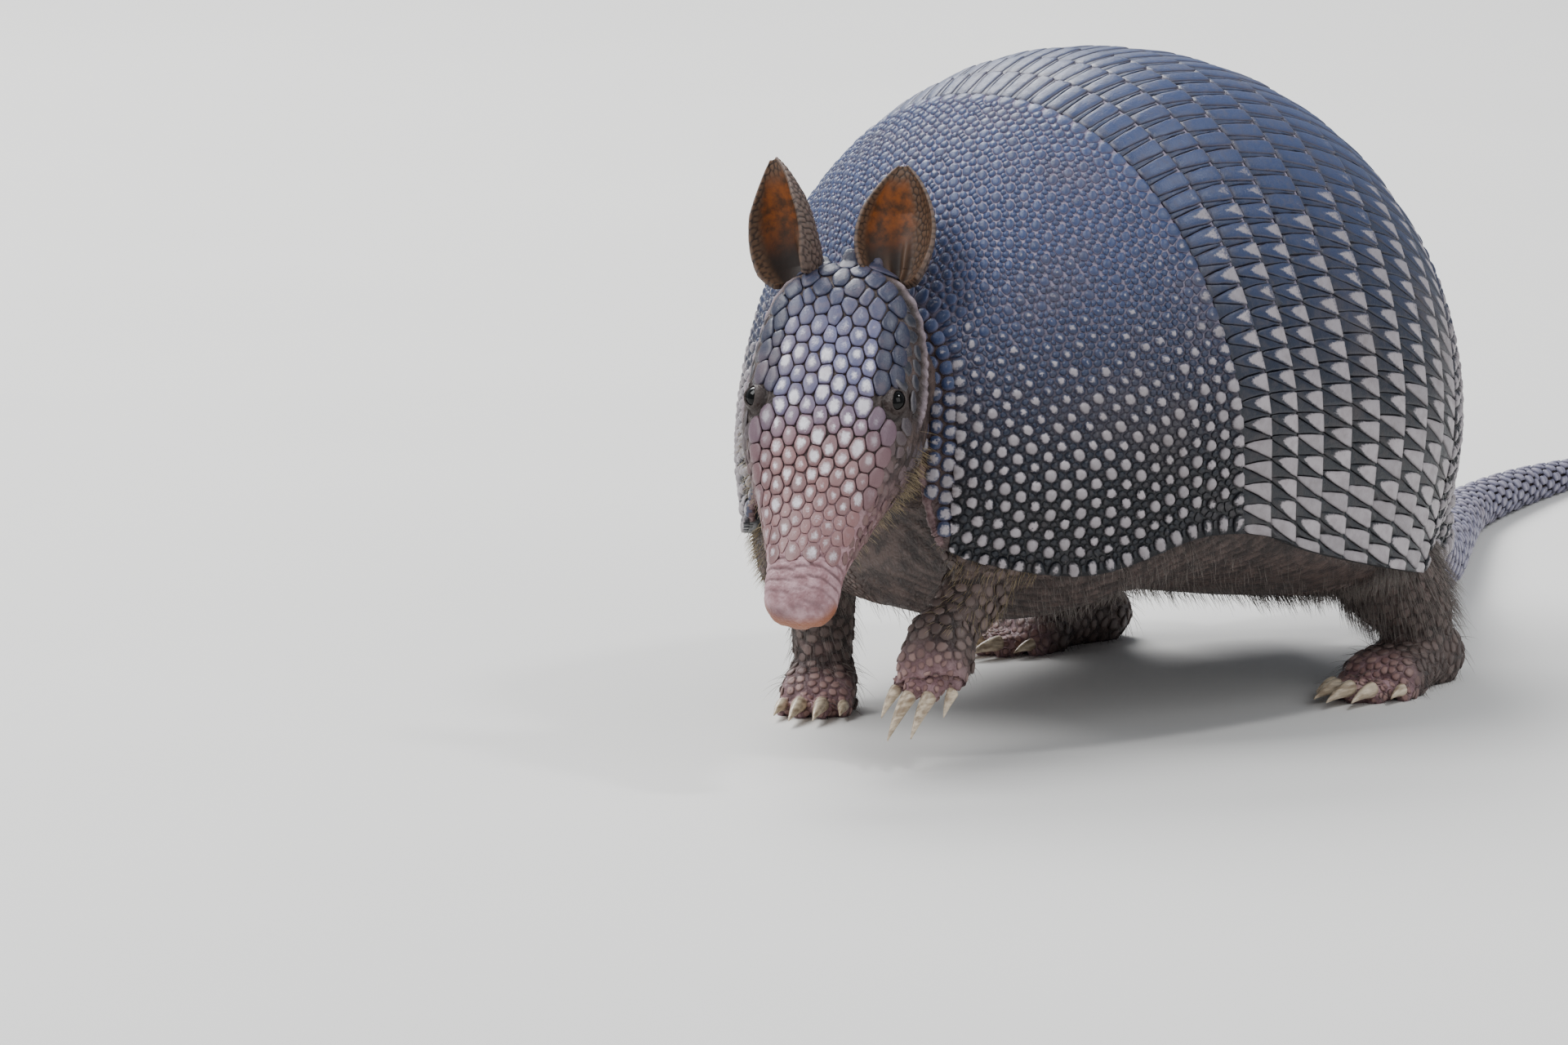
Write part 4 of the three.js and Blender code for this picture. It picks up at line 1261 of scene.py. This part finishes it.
def skin(look):
    """The one skin of the animal. Gives its points and normals."""
    mesh = remeshed(*skin_bodies())
    refine(mesh)
    face = Face(*points_and_normals(mesh))
    face.lids(1)
    face.lids(-1)
    face.wrinkles()
    face.cheek_fold()
    face.nose()
    points = face.moved
    points[:, 2] = np.where(points[:, 2] < SOLE, 0, points[:, 2])
    mesh.vertices.foreach_set("co", (points * MM).ravel())
    mesh.update()
    tone = skin_tone(points)
    tone[:, 3] -= 0.45 * face.fold
    # the depth of the creases, painted on the skin as shade
    tone[:, 2] = face.crease
    legs = [f"{pair}leg_{side}" for pair in ("fore", "hind") for side in ("left", "right")]
    nodes = ["trunk", "neck", "head", *FEET, *legs, *[f"tail_{n}" for n in range(1, 5)]]
    dress_piece("skin", mesh, look, nodes, tone)
    return points_and_normals(mesh)


def skin_tone(points):
    """pink, dark, crease and a fourth value for each point of the skin; crease is the painted shade of the
    creases, left at 0 here. Above a half the fourth is the nose's orange edge, and below it the pale fold."""
    along, out, up = HEAD_FRAME.local(points)
    on_head = in_box(along, out, up, -4, 120, 30, -40, 12)
    pink = np.where(on_head, smooth(56, 92, along), 0)
    for name, foot in FEET.items():
        ahead, across, rise = foot.local(points)
        near = (np.abs(across) < 16) & (rise < 20) & (rise > -6)
        start = 10 if "fore" in name else 24
        pink = np.maximum(pink, near * smooth(start - 5, start + 8, ahead) * (ahead < 50) * 0.75)
    nose_edge = on_head * 0.5 * smooth(103.5, 107.5, along) * smooth(5, -3, up)
    return columns(pink, smooth(13, 4.4, gap_to(points, EYES)), 0, 0.5 + nose_edge)


# ---- tail

def tail_scales(look):
    """Rings of scales down the tail; each ring's rear row stands over the next ring."""
    rows = []
    at, ring = 2.0, 0
    while at < TAIL_LENGTH[-1] - 3:
        radius = np.interp(at, TAIL_LENGTH, TAIL_RADIUS)
        length = clamp(mix(3.6, TAIL_RING, radius / 20), 4.2, TAIL_RING)
        size = length / TAIL_RING
        count = max(9, int(round(2 * np.pi * radius / mix(3.2, 4.4, radius / 21))))
        for row, (share, big) in enumerate(((0.28, False), (0.72, True))):
            turn = (np.arange(count) + 0.5 * (row + ring % 2)) * 360 / count
            weight = 4.0 * size * size * (big and at < TAIL_RINGED)
            lift = (0.95 if big else 0.35) * mix(0.5, 1, size)
            rows.append(columns(at + share * length, turn, weight, lift, big))
        at += length
        ring += 1
    distance, turn, weight, lift, rear = np.concatenate(rows).T
    noise = draw.random(len(turn))
    made = scales(tail_point, distance, turn, weight + noise * 0.6, lift, TAIL_DOME, groove=0.16, limit=6.0,
                  tilt=0.06, step=1.0)
    points, faces, owner, share, reach, p, q = made
    points[:, 2] = np.maximum(points[:, 2], 0)
    pale = (0.4 + 0.22 * rear * mix(0.5, 1.3, noise))[owner] * smooth(1.0, 0.5, share)
    pale = pale + 0.12 * smooth(0.2, 0.9, reach)
    tone = columns(pale, smooth(0.9, 1.0, share), noise[owner], 1)
    uv = spread_uv(p / TAIL_LENGTH[-1], (q % 720) / 720)
    make_piece("tail_scales", look, "tail", (), points, faces, tone, uv)


# ---- scales on the skin of the limbs, cheeks and neck

def skin_scales(name, look, slot, points, normals, lie, gap, lift, tone_at, stretch=1.0, tilt=0.12):
    """Small domed scales scattered over points of the skin, a gap apart, with their length along the lie."""
    corners, fill, sag, patch_size = 8, 0.94, 0.03, 0.0015
    kept = scattered(points, gap)
    sites, normal = points[kept], normals[kept]
    toward = unit(lie[kept] - normal * dot(lie[kept], normal)[:, None])
    side = np.cross(toward, normal)
    limit = gap[kept][:, None] * 0.85
    even = np.zeros(len(kept))
    radius, turn = cell_outline(sites, side, toward, even, corners, limit, 8, stretch, count=14, least=0.05)
    radius = radius * fill
    lift = lift * mix(0.8, 1.2, draw.random(len(kept)))
    rings = []
    for share, height in SKIN_DOME + ((0.0, 1.0),):
        x = radius * np.cos(turn) * share
        y = radius * np.sin(turn) * share * stretch
        rise = height * lift[:, None] + tilt * y * (height > 0) - (x * x + y * y) * sag
        ring = sites[:, None] + x[..., None] * side[:, None] + y[..., None] * toward[:, None]
        rings.append(ring + rise[..., None] * normal[:, None])
    made = np.concatenate([*rings[:-1], rings[-1][:, :1]], 1).reshape(-1, 3)
    made[:, 2] = np.maximum(made[:, 2], 0.0)
    share = ring_rows(SKIN_DOME, corners)
    owner = np.repeat(np.arange(len(kept)), len(share))
    tone = tone_at(sites, owner, np.tile(share, len(kept)))
    corner = np.append(np.tile(turn, len(SKIN_DOME)), 0)
    patch = columns(np.cos(corner), np.sin(corner)) * share[:, None] * patch_size
    uv = body_uv(sites)[owner] + np.tile(patch, (len(kept), 1))
    make_piece(name, look, slot, (), made, dome_faces(len(kept), corners, len(SKIN_DOME)), tone, uv)


def body_uv(points):
    """An unwrap of the body by length and by the way round its own middle line."""
    axis_height, reach = 45, 290
    turn = np.arctan2(points[:, 0] + MIDDLE_LEFT, points[:, 2] - axis_height) / (2 * np.pi) + 0.5
    return np.stack([0.03 + 0.94 * (points[:, 1] + reach) / (2 * reach), 0.03 + 0.94 * turn], -1)


def limb_scales(points, normals, look):
    """Small rounded scales over the feet and the lower legs."""
    chosen = np.zeros(len(points), bool)
    lie = np.zeros_like(points)
    gap = np.full(len(points), 2.6)
    for name, foot in FEET.items():
        ahead, out, rise = foot.local(points)
        fore = "fore" in name
        start, top, toes = (-18, 44, 0) if fore else (-16, 34, 16)
        near = in_box(ahead, out, rise, start, 46, 20, 1.2, top)
        if name == "forefoot_left":
            near &= points[:, 2] < 62
        chosen |= near
        lie[near] = foot.ahead * 0.8 - foot.up * smooth(6, 22, rise[near])[:, None]
        gap[near] = mix(1.7, 3.0, smooth(20, 4, ahead[near] - toes))
    along, out, up = HEAD_FRAME.local(points)
    chosen &= ~in_box(along, out, up, 0, np.inf, 30, -36, 15)
    chosen &= np.abs(points[:, 0] + MIDDLE_LEFT) > 18
    index = np.nonzero(chosen)[0]

    def tone_at(sites, owner, share):
        noise = draw.random(len(sites))
        pink = skin_tone(sites)[:, 0]
        return columns(pink[owner], smooth(0.8, 1.0, share), noise[owner], smooth(1.0, 0.4, share))

    chosen_ones = (points[index], normals[index], lie[index], gap[index])
    skin_scales("limb_scales", look, "skin", *chosen_ones, 0.3, tone_at)


def cheek_scales(points, normals, look):
    """Long narrow scales on the sides of the face and small ones over the neck and crown."""
    along, out, up = HEAD_FRAME.local(points)
    chosen = in_box(along, out, up, 2, 92, 27, -24, 12) & (np.abs(out) > curve(HEAD_SHIELD, along) + 0.6)
    chosen &= (gap_to(points, EYES) > 7.5) & (gap_to(points, EAR_ROOTS) > 7)
    chosen &= (along > 50) | (up - curve(CHEEK_FOLD, along) > 4.4)
    index = np.nonzero(chosen)[0]
    lie = np.tile(HEAD_FRAME.ahead, (len(index), 1))
    gap = mix(3.9, 2.3, smooth(40, 84, along[index]))

    def tone_at(sites, owner, share):
        noise = draw.random(len(sites))
        pale = (0.1 + 0.3 * noise)[owner] * smooth(1.0, 0.4, share)
        snout = smooth(40, 80, HEAD_FRAME.local(sites)[0])
        return columns(pale, smooth(0.85, 1.0, share), noise[owner], snout[owner])

    chosen_ones = (points[index], normals[index], lie, gap)
    skin_scales("cheek_scales", look, "face", *chosen_ones, 0.26, tone_at, stretch=1.3, tilt=0.05)


# ---- claws

def claws(name, foot, look):
    """The claws of one foot: curved horn, thick at the root."""
    made = []
    for out, _, tip, radius, length in foot.toes:
        rings = []
        for t in np.linspace(0, 1, 14):
            thick = radius * CLAW_RADIUS * mix(1.04, 0.1, t**1.35)
            along = tip - 1.4 + (length + 1.5) * t
            height = radius * 0.98 + 0.9 * t - 0.62 * radius * t * t + thick * 0.2
            centre = foot.at(along, out * mix(1.12, 1.2, t), max(height, thick + 0.35))
            rings.append(oval(centre, foot.side, foot.up, thick * 0.82, thick * 1.05, thick * 0.8, 2, 16))
        made.append(loft(rings))
    points, faces = join(*made)
    kind, side = name.split("_")
    nodes = [f"{kind.replace('foot', 'claw')}_{side}_{n + 1}" for n in range(len(foot.toes))]
    tone = columns(foot.local(points)[0] / 60, 0, 0, 0)
    make_piece(name.replace("foot", "claws"), look, "claw", nodes, points, faces, tone)


# ---- hair

def hairs(name, look, slot, roots, normals, lie, length, thick, lean):
    """Fine tapering hairs, three-sided, that rise from the skin and bend along the lie."""
    count, steps, sides = len(roots), 4, 3
    root_depth, tip_width = 0.3, 0.004
    side = unit(np.cross(lie, normals) + draw.normal(0, 0.25, (count, 3)))
    length = length * draw.uniform(0.55, 1.15, count)
    lean = clamp(lean + draw.normal(0, 0.16, count), 0.05, 1.6)
    position = roots - normals * root_depth
    direction = unit(normals * (1.0 / (0.4 + lean))[:, None] + lie + draw.normal(0, 0.16, (count, 3)))
    turn = 2 * np.pi * np.arange(sides) / sides
    rings = []
    for k in range(steps + 1):
        third = unit(np.cross(direction, side))
        width = thick * (1 - k / steps) ** 0.8 * 0.5 + tip_width
        round_it = np.cos(turn)[:, None] * side[:, None] + np.sin(turn)[:, None] * third[:, None]
        rings.append(position[:, None] + width * round_it)
        position = position + direction * (length / steps)[:, None]
        direction = unit(direction + lie * 0.16 + np.array([0, 0, -0.1]) + draw.normal(0, 0.05, (count, 3)))
    points = np.stack(rings, 1).reshape(count, -1, 3)
    points[..., 2] = np.maximum(points[..., 2], 0.05)
    one = []
    for k in range(steps):
        for j in range(sides):
            a, b = k * sides + j, k * sides + (j + 1) % sides
            one += [(a, b, b + sides), (a, b + sides, a + sides)]
    one += [(0, 2, 1), (steps * sides, steps * sides + 1, steps * sides + 2)]
    each = points.shape[1]
    faces = (np.array(one)[None] + (np.arange(count) * each)[:, None, None]).reshape(-1, 3)
    along = np.repeat(np.arange(steps + 1) / steps, sides)
    tone = columns(along[None], 0, draw.random(count)[:, None], 0)
    patch = np.stack([along, np.tile(np.arange(sides) / sides, steps + 1)], 1) * 0.003
    uv = (body_uv(roots)[:, None] + patch[None]).reshape(-1, 2)
    make_piece(name, look, slot, (), points.reshape(-1, 3), faces, tone.reshape(-1, 4), uv)


def along_skin(way, normals):
    """A direction laid along the skin."""
    return unit(way - normals * (normals @ way)[:, None])


def coat_hair(points, normals, grey, straw):
    """Sparse hair on the belly, the legs, the folds and the cheeks."""
    left, forward, up = points[:, 0] + MIDDLE_LEFT, -points[:, 1] - MIDDLE_REAR, points[:, 2]
    along, out, high = HEAD_FRAME.local(points)
    on_head = in_box(along, out, high, -4, np.inf, 30, -40, 12)
    rim = curve(SHELL_RIM, np.degrees(np.arcsin(clamp(forward / 118, -1, 1))))
    body = (forward > -118) & (forward < 100) & ~on_head & (up < rim + 6)
    legs = body & (np.abs(left) > 26) & (up > 12)
    hind = legs & (forward < -38)
    belly = body & (np.abs(left) < 74) & (forward < 74)
    low_front = (up < 60) & (up > 36)
    fold = (forward > 78) & (np.abs(left) > 26) & low_front & (np.abs(left - 5) > 27) & ~on_head
    fold |= (forward > 84) & (left < -24) & low_front
    face = on_head & (along > 22) & (along < 88) & (high < -8) & ((along > 46) | (np.abs(out) < 15))
    cheek = np.where(face, smooth(-6, -20, high) + 0.12, 0)
    down = along_skin(np.array([0.0, 0.25, -1.0]), normals)
    back = along_skin(unit(-HEAD_FRAME.up * 0.9 - HEAD_FRAME.ahead * 0.35), normals)
    level = unit(np.array([-0.5, -0.2, -0.75]) * np.ones((len(points), 3)))
    # name, look, slot, where, how many, the way they lie, and each hair's length, thickness and lean
    patches = (
        ("hind_leg_hair", grey, "skin", hind * smooth(14, 26, up), 4600, down, 9.5, 0.17, 1.1),
        ("belly_hair", grey, "skin", belly, 3600, down, 8.0, 0.16, 0.9),
        ("fore_leg_hair", grey, "skin", legs & (forward > 30), 1100, down, 5.5, 0.14, 0.9),
        ("fold_hair", straw, "skin", fold, 900, level, 4.2, 0.2, 0.7),
        ("face_hair", straw, "face", cheek, 1500, back, 6.5, 0.15, 0.55),
    )
    for name, look, slot, where, count, lie, *shape in patches:
        weight = where + 1e-12
        chosen = draw.choice(len(weight), size=count, replace=False, p=weight / weight.sum())
        hairs(name, look, slot, points[chosen], normals[chosen], lie[chosen], *shape)


# ---- looks

def colour(code):
    """A colour from its hex code, in scene-linear values."""
    parts = [int(code[i:i + 2], 16) / 255 for i in (0, 2, 4)]
    return tuple(p / 12.92 if p <= 0.04045 else ((p + 0.055) / 1.055) ** 2.4 for p in parts)


class Look:
    """A procedural material. Each call adds a node and gives its result; a colour may be a hex code."""

    def __init__(self, name, roughness, specular):
        self.material = bpy.data.materials.new(name)
        self.material.use_nodes = True
        self.tree = self.material.node_tree
        self.shader = self.tree.nodes["Principled BSDF"]
        self.set("Roughness", roughness)
        self.set("Specular IOR Level", specular)

    def set(self, name, value):
        """Sets one of the surface's own inputs."""
        self.feed(self.shader.inputs[name], value)

    def feed(self, socket, value):
        """Sets a socket, or links a result to it."""
        if isinstance(value, bpy.types.NodeSocket):
            self.tree.links.new(value, socket)
        else:
            socket.default_value = value

    def node(self, kind, inputs=(), **settings):
        """A node of a kind, with its settings and inputs."""
        made = self.tree.nodes.new("ShaderNode" + kind)
        for key, value in settings.items():
            setattr(made, key, value)
        for key, value in dict(inputs).items():
            self.feed(made.inputs[key], value)
        return made

    def blend(self, factor, a, b):
        """The colour a where the factor is 0, and b where it is 1."""
        a, b = ((*colour(c), 1) if isinstance(c, str) else c for c in (a, b))
        return self.node("Mix", {0: factor, 6: a, 7: b}, data_type="RGBA").outputs[2]

    def maths(self, operation, a, b):
        """One sum on two values."""
        return self.node("Math", {0: a, 1: b}, operation=operation).outputs[0]

    def ramp(self, value, low, high):
        """0 below low, 1 above high, smooth between."""
        return self.node("MapRange", {0: value, 1: low, 2: high}, interpolation_type="SMOOTHSTEP").outputs[0]

    def where(self):
        """The place on the piece, so a texture stays with it."""
        return self.node("TexCoord").outputs["Object"]

    def noise(self, scale, detail, rough=0.6):
        """Cloudy spots, smaller for a larger scale."""
        settings = {"Vector": self.where(), "Scale": scale, "Detail": detail, "Roughness": rough}
        return self.node("TexNoise", settings).outputs[0]

    def tone(self):
        """The piece's own pale, edge, random and fourth values."""
        made = self.node("Attribute", attribute_name="tone", attribute_type="GEOMETRY")
        parts = self.node("SeparateColor", {0: made.outputs["Color"]})
        return parts.outputs[0], parts.outputs[1], parts.outputs[2], made.outputs["Alpha"]

    def bump(self, height, strength, distance):
        """Fine relief that follows the height, a distance in millimetres deep."""
        made = self.node("Bump", {"Height": height, "Strength": strength, "Distance": distance * MM})
        self.set("Normal", made.outputs[0])


def scute_look(name, dark, slate, pale, warm, seam_low, seam_high, roughness=0.5, soft=(0.2, 0.75),
               middle=None):
    """Horny scutes: dark or slate, pale where tone says, with seams between them. soft is where the pale
    starts and is full, and middle is a colour between dark and slate."""
    look = Look(name, roughness, 0.45)
    light, edge, random, high = look.tone()
    mottled = look.noise(420, 5)
    fine = look.noise(1900, 3)
    if middle:
        upper = look.ramp(high, 0.5, 1.0)
        under = look.blend(upper, look.blend(look.ramp(high, 0.0, 0.5), dark, middle), slate)
    else:
        under = look.blend(high, dark, slate)
    cloud = look.noise(38, 3)
    under = look.blend(look.ramp(mottled, 0.45, 0.7), under, look.blend(0.25, under, warm))
    # the third tone value darkens the colour at random, and on the head's sides it also carries painted shade
    darker = look.maths("MULTIPLY", random, 0.55)
    under = look.blend(darker, under, look.blend(0.5, under, (0.006, 0.008, 0.014, 1)))
    cream = look.blend(look.ramp(mottled, 0.35, 0.75), pale, look.blend(0.3, pale, warm))
    cream = look.blend(look.maths("MULTIPLY", random, 0.3), cream, under)
    ragged = look.maths("ADD", light, look.maths("MULTIPLY", look.maths("SUBTRACT", fine, 0.5), 0.6))
    body = look.blend(look.ramp(ragged, *soft), under, cream)
    body = look.blend(look.maths("MULTIPLY", look.ramp(cloud, 0.5, 0.72), 0.28), body, warm)
    look.set("Base Color", look.blend(edge, body, look.blend(high, seam_low, seam_high)))
    uneven = look.node("MapRange", {0: mottled, 1: 0.3, 2: 0.7, 3: roughness - 0.1, 4: roughness + 0.14})
    look.set("Roughness", uneven.outputs[0])
    look.bump(look.maths("ADD", fine, mottled), 0.55, 0.24)
    return look.material


def skin_look():
    """Bare skin: grey-brown, rosy where tone says, darkened in its creases as painted shade, with a fine net
    of wrinkles.
    """
    look = Look("bare_skin", 0.5, 0.4)
    pink, dark, crease, pad = look.tone()
    mottled = look.noise(260, 5)
    fine = look.noise(1500, 4)
    base = look.blend(look.ramp(mottled, 0.35, 0.65), "332a28", "574843")
    rosy = look.blend(look.ramp(mottled, 0.35, 0.68), "8b666a", "b49297")
    body = look.blend(pink, base, rosy)
    body = look.blend(dark, body, "3a302d")
    # painted shade in the creases
    body = look.blend(look.maths("MULTIPLY", crease, 0.75), body, look.blend(pink, "231a18", "5a3d40"))
    body = look.blend(look.ramp(pad, 0.52, 0.95), body, "8a5236")
    body = look.blend(look.ramp(pad, 0.47, 0.1), body, look.blend(mottled, "63555b", "b5a6ad"))
    look.set("Base Color", body)
    net = look.node("TexVoronoi", {"Vector": look.where(), "Scale": 620.0}, feature="DISTANCE_TO_EDGE")
    look.bump(look.maths("ADD", look.maths("MULTIPLY", net.outputs[0], 1.4), fine), 0.7, 0.45)
    return look.material


def limb_look():
    """The small scales of the limbs, rosy on the toes, with dark edges."""
    look = Look("limb_scales", 0.55, 0.4)
    pink, edge, random, _ = look.tone()
    mottled = look.noise(500, 4)
    base = look.blend(random, "463a38", "71615c")
    rosy = look.blend(random, "9d7370", "c49b94")
    body = look.blend(pink, base, rosy)
    body = look.blend(look.maths("MULTIPLY", edge, 0.75), body, "2d2523")
    look.set("Base Color", look.blend(look.maths("MULTIPLY", mottled, 0.4), body, "6b5a52"))
    look.bump(mottled, 0.4, 0.12)
    return look.material


def ear_look():
    """Leather: dark pebbles on the back, an amber hollow, and a dark pebbled border."""
    look = Look("ear_leather", 0.6, 0.35)
    inside, pebble, rim, along = look.tone()
    mottled = look.noise(330, 5)
    back = look.blend(pebble, "2a201d", "66564e")
    hollow = look.blend(look.ramp(mottled, 0.32, 0.66), "3c2004", "7c3f06")
    hollow = look.blend(look.ramp(along, 0.62, 0.2), hollow, "20140d")
    hollow = look.blend(rim, hollow, look.blend(pebble, "1e130e", "57402f"))
    look.set("Base Color", look.blend(inside, back, hollow))
    look.set("Subsurface Weight", 0.12)
    look.set("Subsurface Radius", (0.004, 0.0015, 0.0008))
    look.bump(mottled, 0.5, 0.2)
    return look.material


def claw_look():
    """Horn with streaks along the claw."""
    look = Look("claw_horn", 0.38, 0.5)
    stretched = look.node("Mapping", {"Vector": look.where(), "Scale": (900.0, 160.0, 900.0)}).outputs[0]
    streak = look.node("TexNoise", {"Vector": stretched, "Scale": 1.0, "Detail": 4.0}).outputs[0]
    look.set("Base Color", look.blend(look.ramp(streak, 0.3, 0.72), "8f7c66", "d9c9b0"))
    look.bump(streak, 0.35, 0.1)
    return look.material


def eye_look():
    """A wet black eye."""
    look = Look("eye", 0.04, 0.2)
    look.set("Base Color", look.blend(look.noise(300, 2, 0.5), "000000", "040302"))
    look.set("Coat Weight", 0.06)
    look.set("Coat Roughness", 0.03)
    return look.material


def hair_look(name, root, tip):
    """Hair that changes colour from root to tip, some hairs greyer."""
    look = Look(name, 0.5, 0.35)
    along, _, random, _ = look.tone()
    body = look.blend(look.ramp(along, 0.0, 0.9), root, tip)
    greyer = look.blend(0.35, body, (0.42, 0.38, 0.35, 1))
    look.set("Base Color", look.blend(look.maths("MULTIPLY", random, 0.5), body, greyer))
    return look.material


def floor_look():
    """A pale studio floor."""
    look = Look("floor", 0.7, 0.2)
    look.set("Base Color", look.blend(look.noise(6, 3, 0.5), "d9d8d5", "dfdedb"))
    return look.material


# ---- the animal

# the slate colour, brought in over the back, is painted sky reflection
shell_look = scute_look("shell_scutes", "171b22", "3a4971", "aca4a8", "5f5552", "17181c", "958ca0",
                        roughness=0.4, soft=(0.33, 0.66))
head_look = scute_look("head_scales", "363b52", "8a6564", "f4f2fa", "8d7577", "454a63", "75555a",
                       roughness=0.4, soft=(0.2, 0.8), middle="666788")
cheek_look = scute_look("cheek_scales", "2b2e37", "7d5f5b", "a99a9a", "5d5450", "7d777a", "5e4145")
tail_look = scute_look("tail_scales", "4d4a5e", "66657c", "aaa6b8", "8b7c78", "3c383c", "4d4954",
                       soft=(0.1, 0.9))

shield("scapular", BAND_FIRST + PLATE_GAP / 2, neck_edge, shell_look)
for number in range(1, BANDS + 1):
    band(number, shell_look)
shield("pelvic", BAND_LAST - PLATE_GAP / 2, tail_edge, shell_look)

bare = skin_look()
skin_points, skin_normals = skin(bare)
make_piece("neck_collar", bare, "skin", (), *join(lip_sheet(), lip_edge()))
lip_scutes(shell_look)
head_shield(head_look)
cheek_scales(skin_points, skin_normals, cheek_look)
limb_scales(skin_points, skin_normals, limb_look())
tail_scales(tail_look)
ear_leather, eye_gloss, horn = ear_look(), eye_look(), claw_look()
for name, side in (("left", 1), ("right", -1)):
    eye(side, eye_gloss, f"eye_{name}")
    ear(side, ear_leather, f"ear_{name}")
for name, foot in FEET.items():
    claws(name, foot, horn)
coat_hair(skin_points, skin_normals, hair_look("grey_hair", "38302c", "877e78"),
          hair_look("straw_hair", "4a3c28", "a8946c"))

# ---- studio

CAMERA_AZIMUTH = 40.646
CAMERA_ELEVATION = 9.397
CAMERA_DISTANCE = 4000
PIXELS_PER_MM = 4.4
SHELL_MIDDLE_PIXEL = (1320.449, 853.859)
IMAGE = (1920, 1280)
SENSOR = 36
FLOOR_REACH = 30.0
SKY_COLOUR = (0.86, 0.92, 1.0, 1)
SKY_STRENGTH = 0.5
LIGHTS_AIM = (0, 0, 0.08)
# name, place in metres, size in metres, and power in watts
LIGHTS = (
    ("key", (-0.9, -1.5, 2.1), 1.5, 64),
    ("fill", (2.2, -0.6, 1.4), 1.6, 17),
    ("back", (-1.5, 0.7, 1.7), 1.2, 62),
    ("catch", (1.2, 0.6, 2.3), 0.32, 20),
)


def add(name, data):
    """An object in the scene."""
    thing = bpy.data.objects.new(name, data)
    bpy.context.collection.objects.link(thing)
    return thing


def camera():
    """A camera on the photo's line of sight, placed so the shell's middle falls on its pixel."""
    # this frame's ahead goes from the animal to the camera, and its side to the picture's right
    view = Frame(0, 0, 0, CAMERA_AZIMUTH, -CAMERA_ELEVATION)
    across, down = ((SHELL_MIDDLE_PIXEL[k] - IMAGE[k] / 2) / PIXELS_PER_MM for k in (0, 1))
    data = bpy.data.cameras.new("camera")
    data.sensor_width = SENSOR
    data.lens = SENSOR * PIXELS_PER_MM * CAMERA_DISTANCE / IMAGE[0]
    data.clip_start = 0.1
    data.clip_end = 60
    made = add("camera", data)
    made.matrix_world = Matrix((view.side, view.up, view.ahead)).transposed().to_4x4()
    made.location = (view.at(0, -across, down) + view.ahead * CAMERA_DISTANCE) * MM
    bpy.context.scene.camera = made


def floor():
    """A flat floor at height 0."""
    data = bpy.data.meshes.new("floor")
    r = FLOOR_REACH
    data.from_pydata([(-r, -r, 0), (r, -r, 0), (r, r, 0), (-r, r, 0)], [], [(0, 1, 2, 3)])
    data.materials.append(floor_look())
    add("floor", data)


def sky():
    """A dim, slightly blue light from all round."""
    world = bpy.data.worlds.new("studio")
    bpy.context.scene.world = world
    world.use_nodes = True
    background = world.node_tree.nodes["Background"]
    background.inputs["Color"].default_value = SKY_COLOUR
    background.inputs["Strength"].default_value = SKY_STRENGTH


def light(name, where, size, power):
    """A square lamp that faces the animal."""
    lamp = bpy.data.lights.new(name, "AREA")
    lamp.size = size
    lamp.energy = power
    made = add(name, lamp)
    made.location = where
    made.rotation_mode = "QUATERNION"
    made.rotation_quaternion = (Vector(where) - Vector(LIGHTS_AIM)).to_track_quat("Z", "Y")


camera()
floor()
sky()
for lamp_settings in LIGHTS:
    light(*lamp_settings)
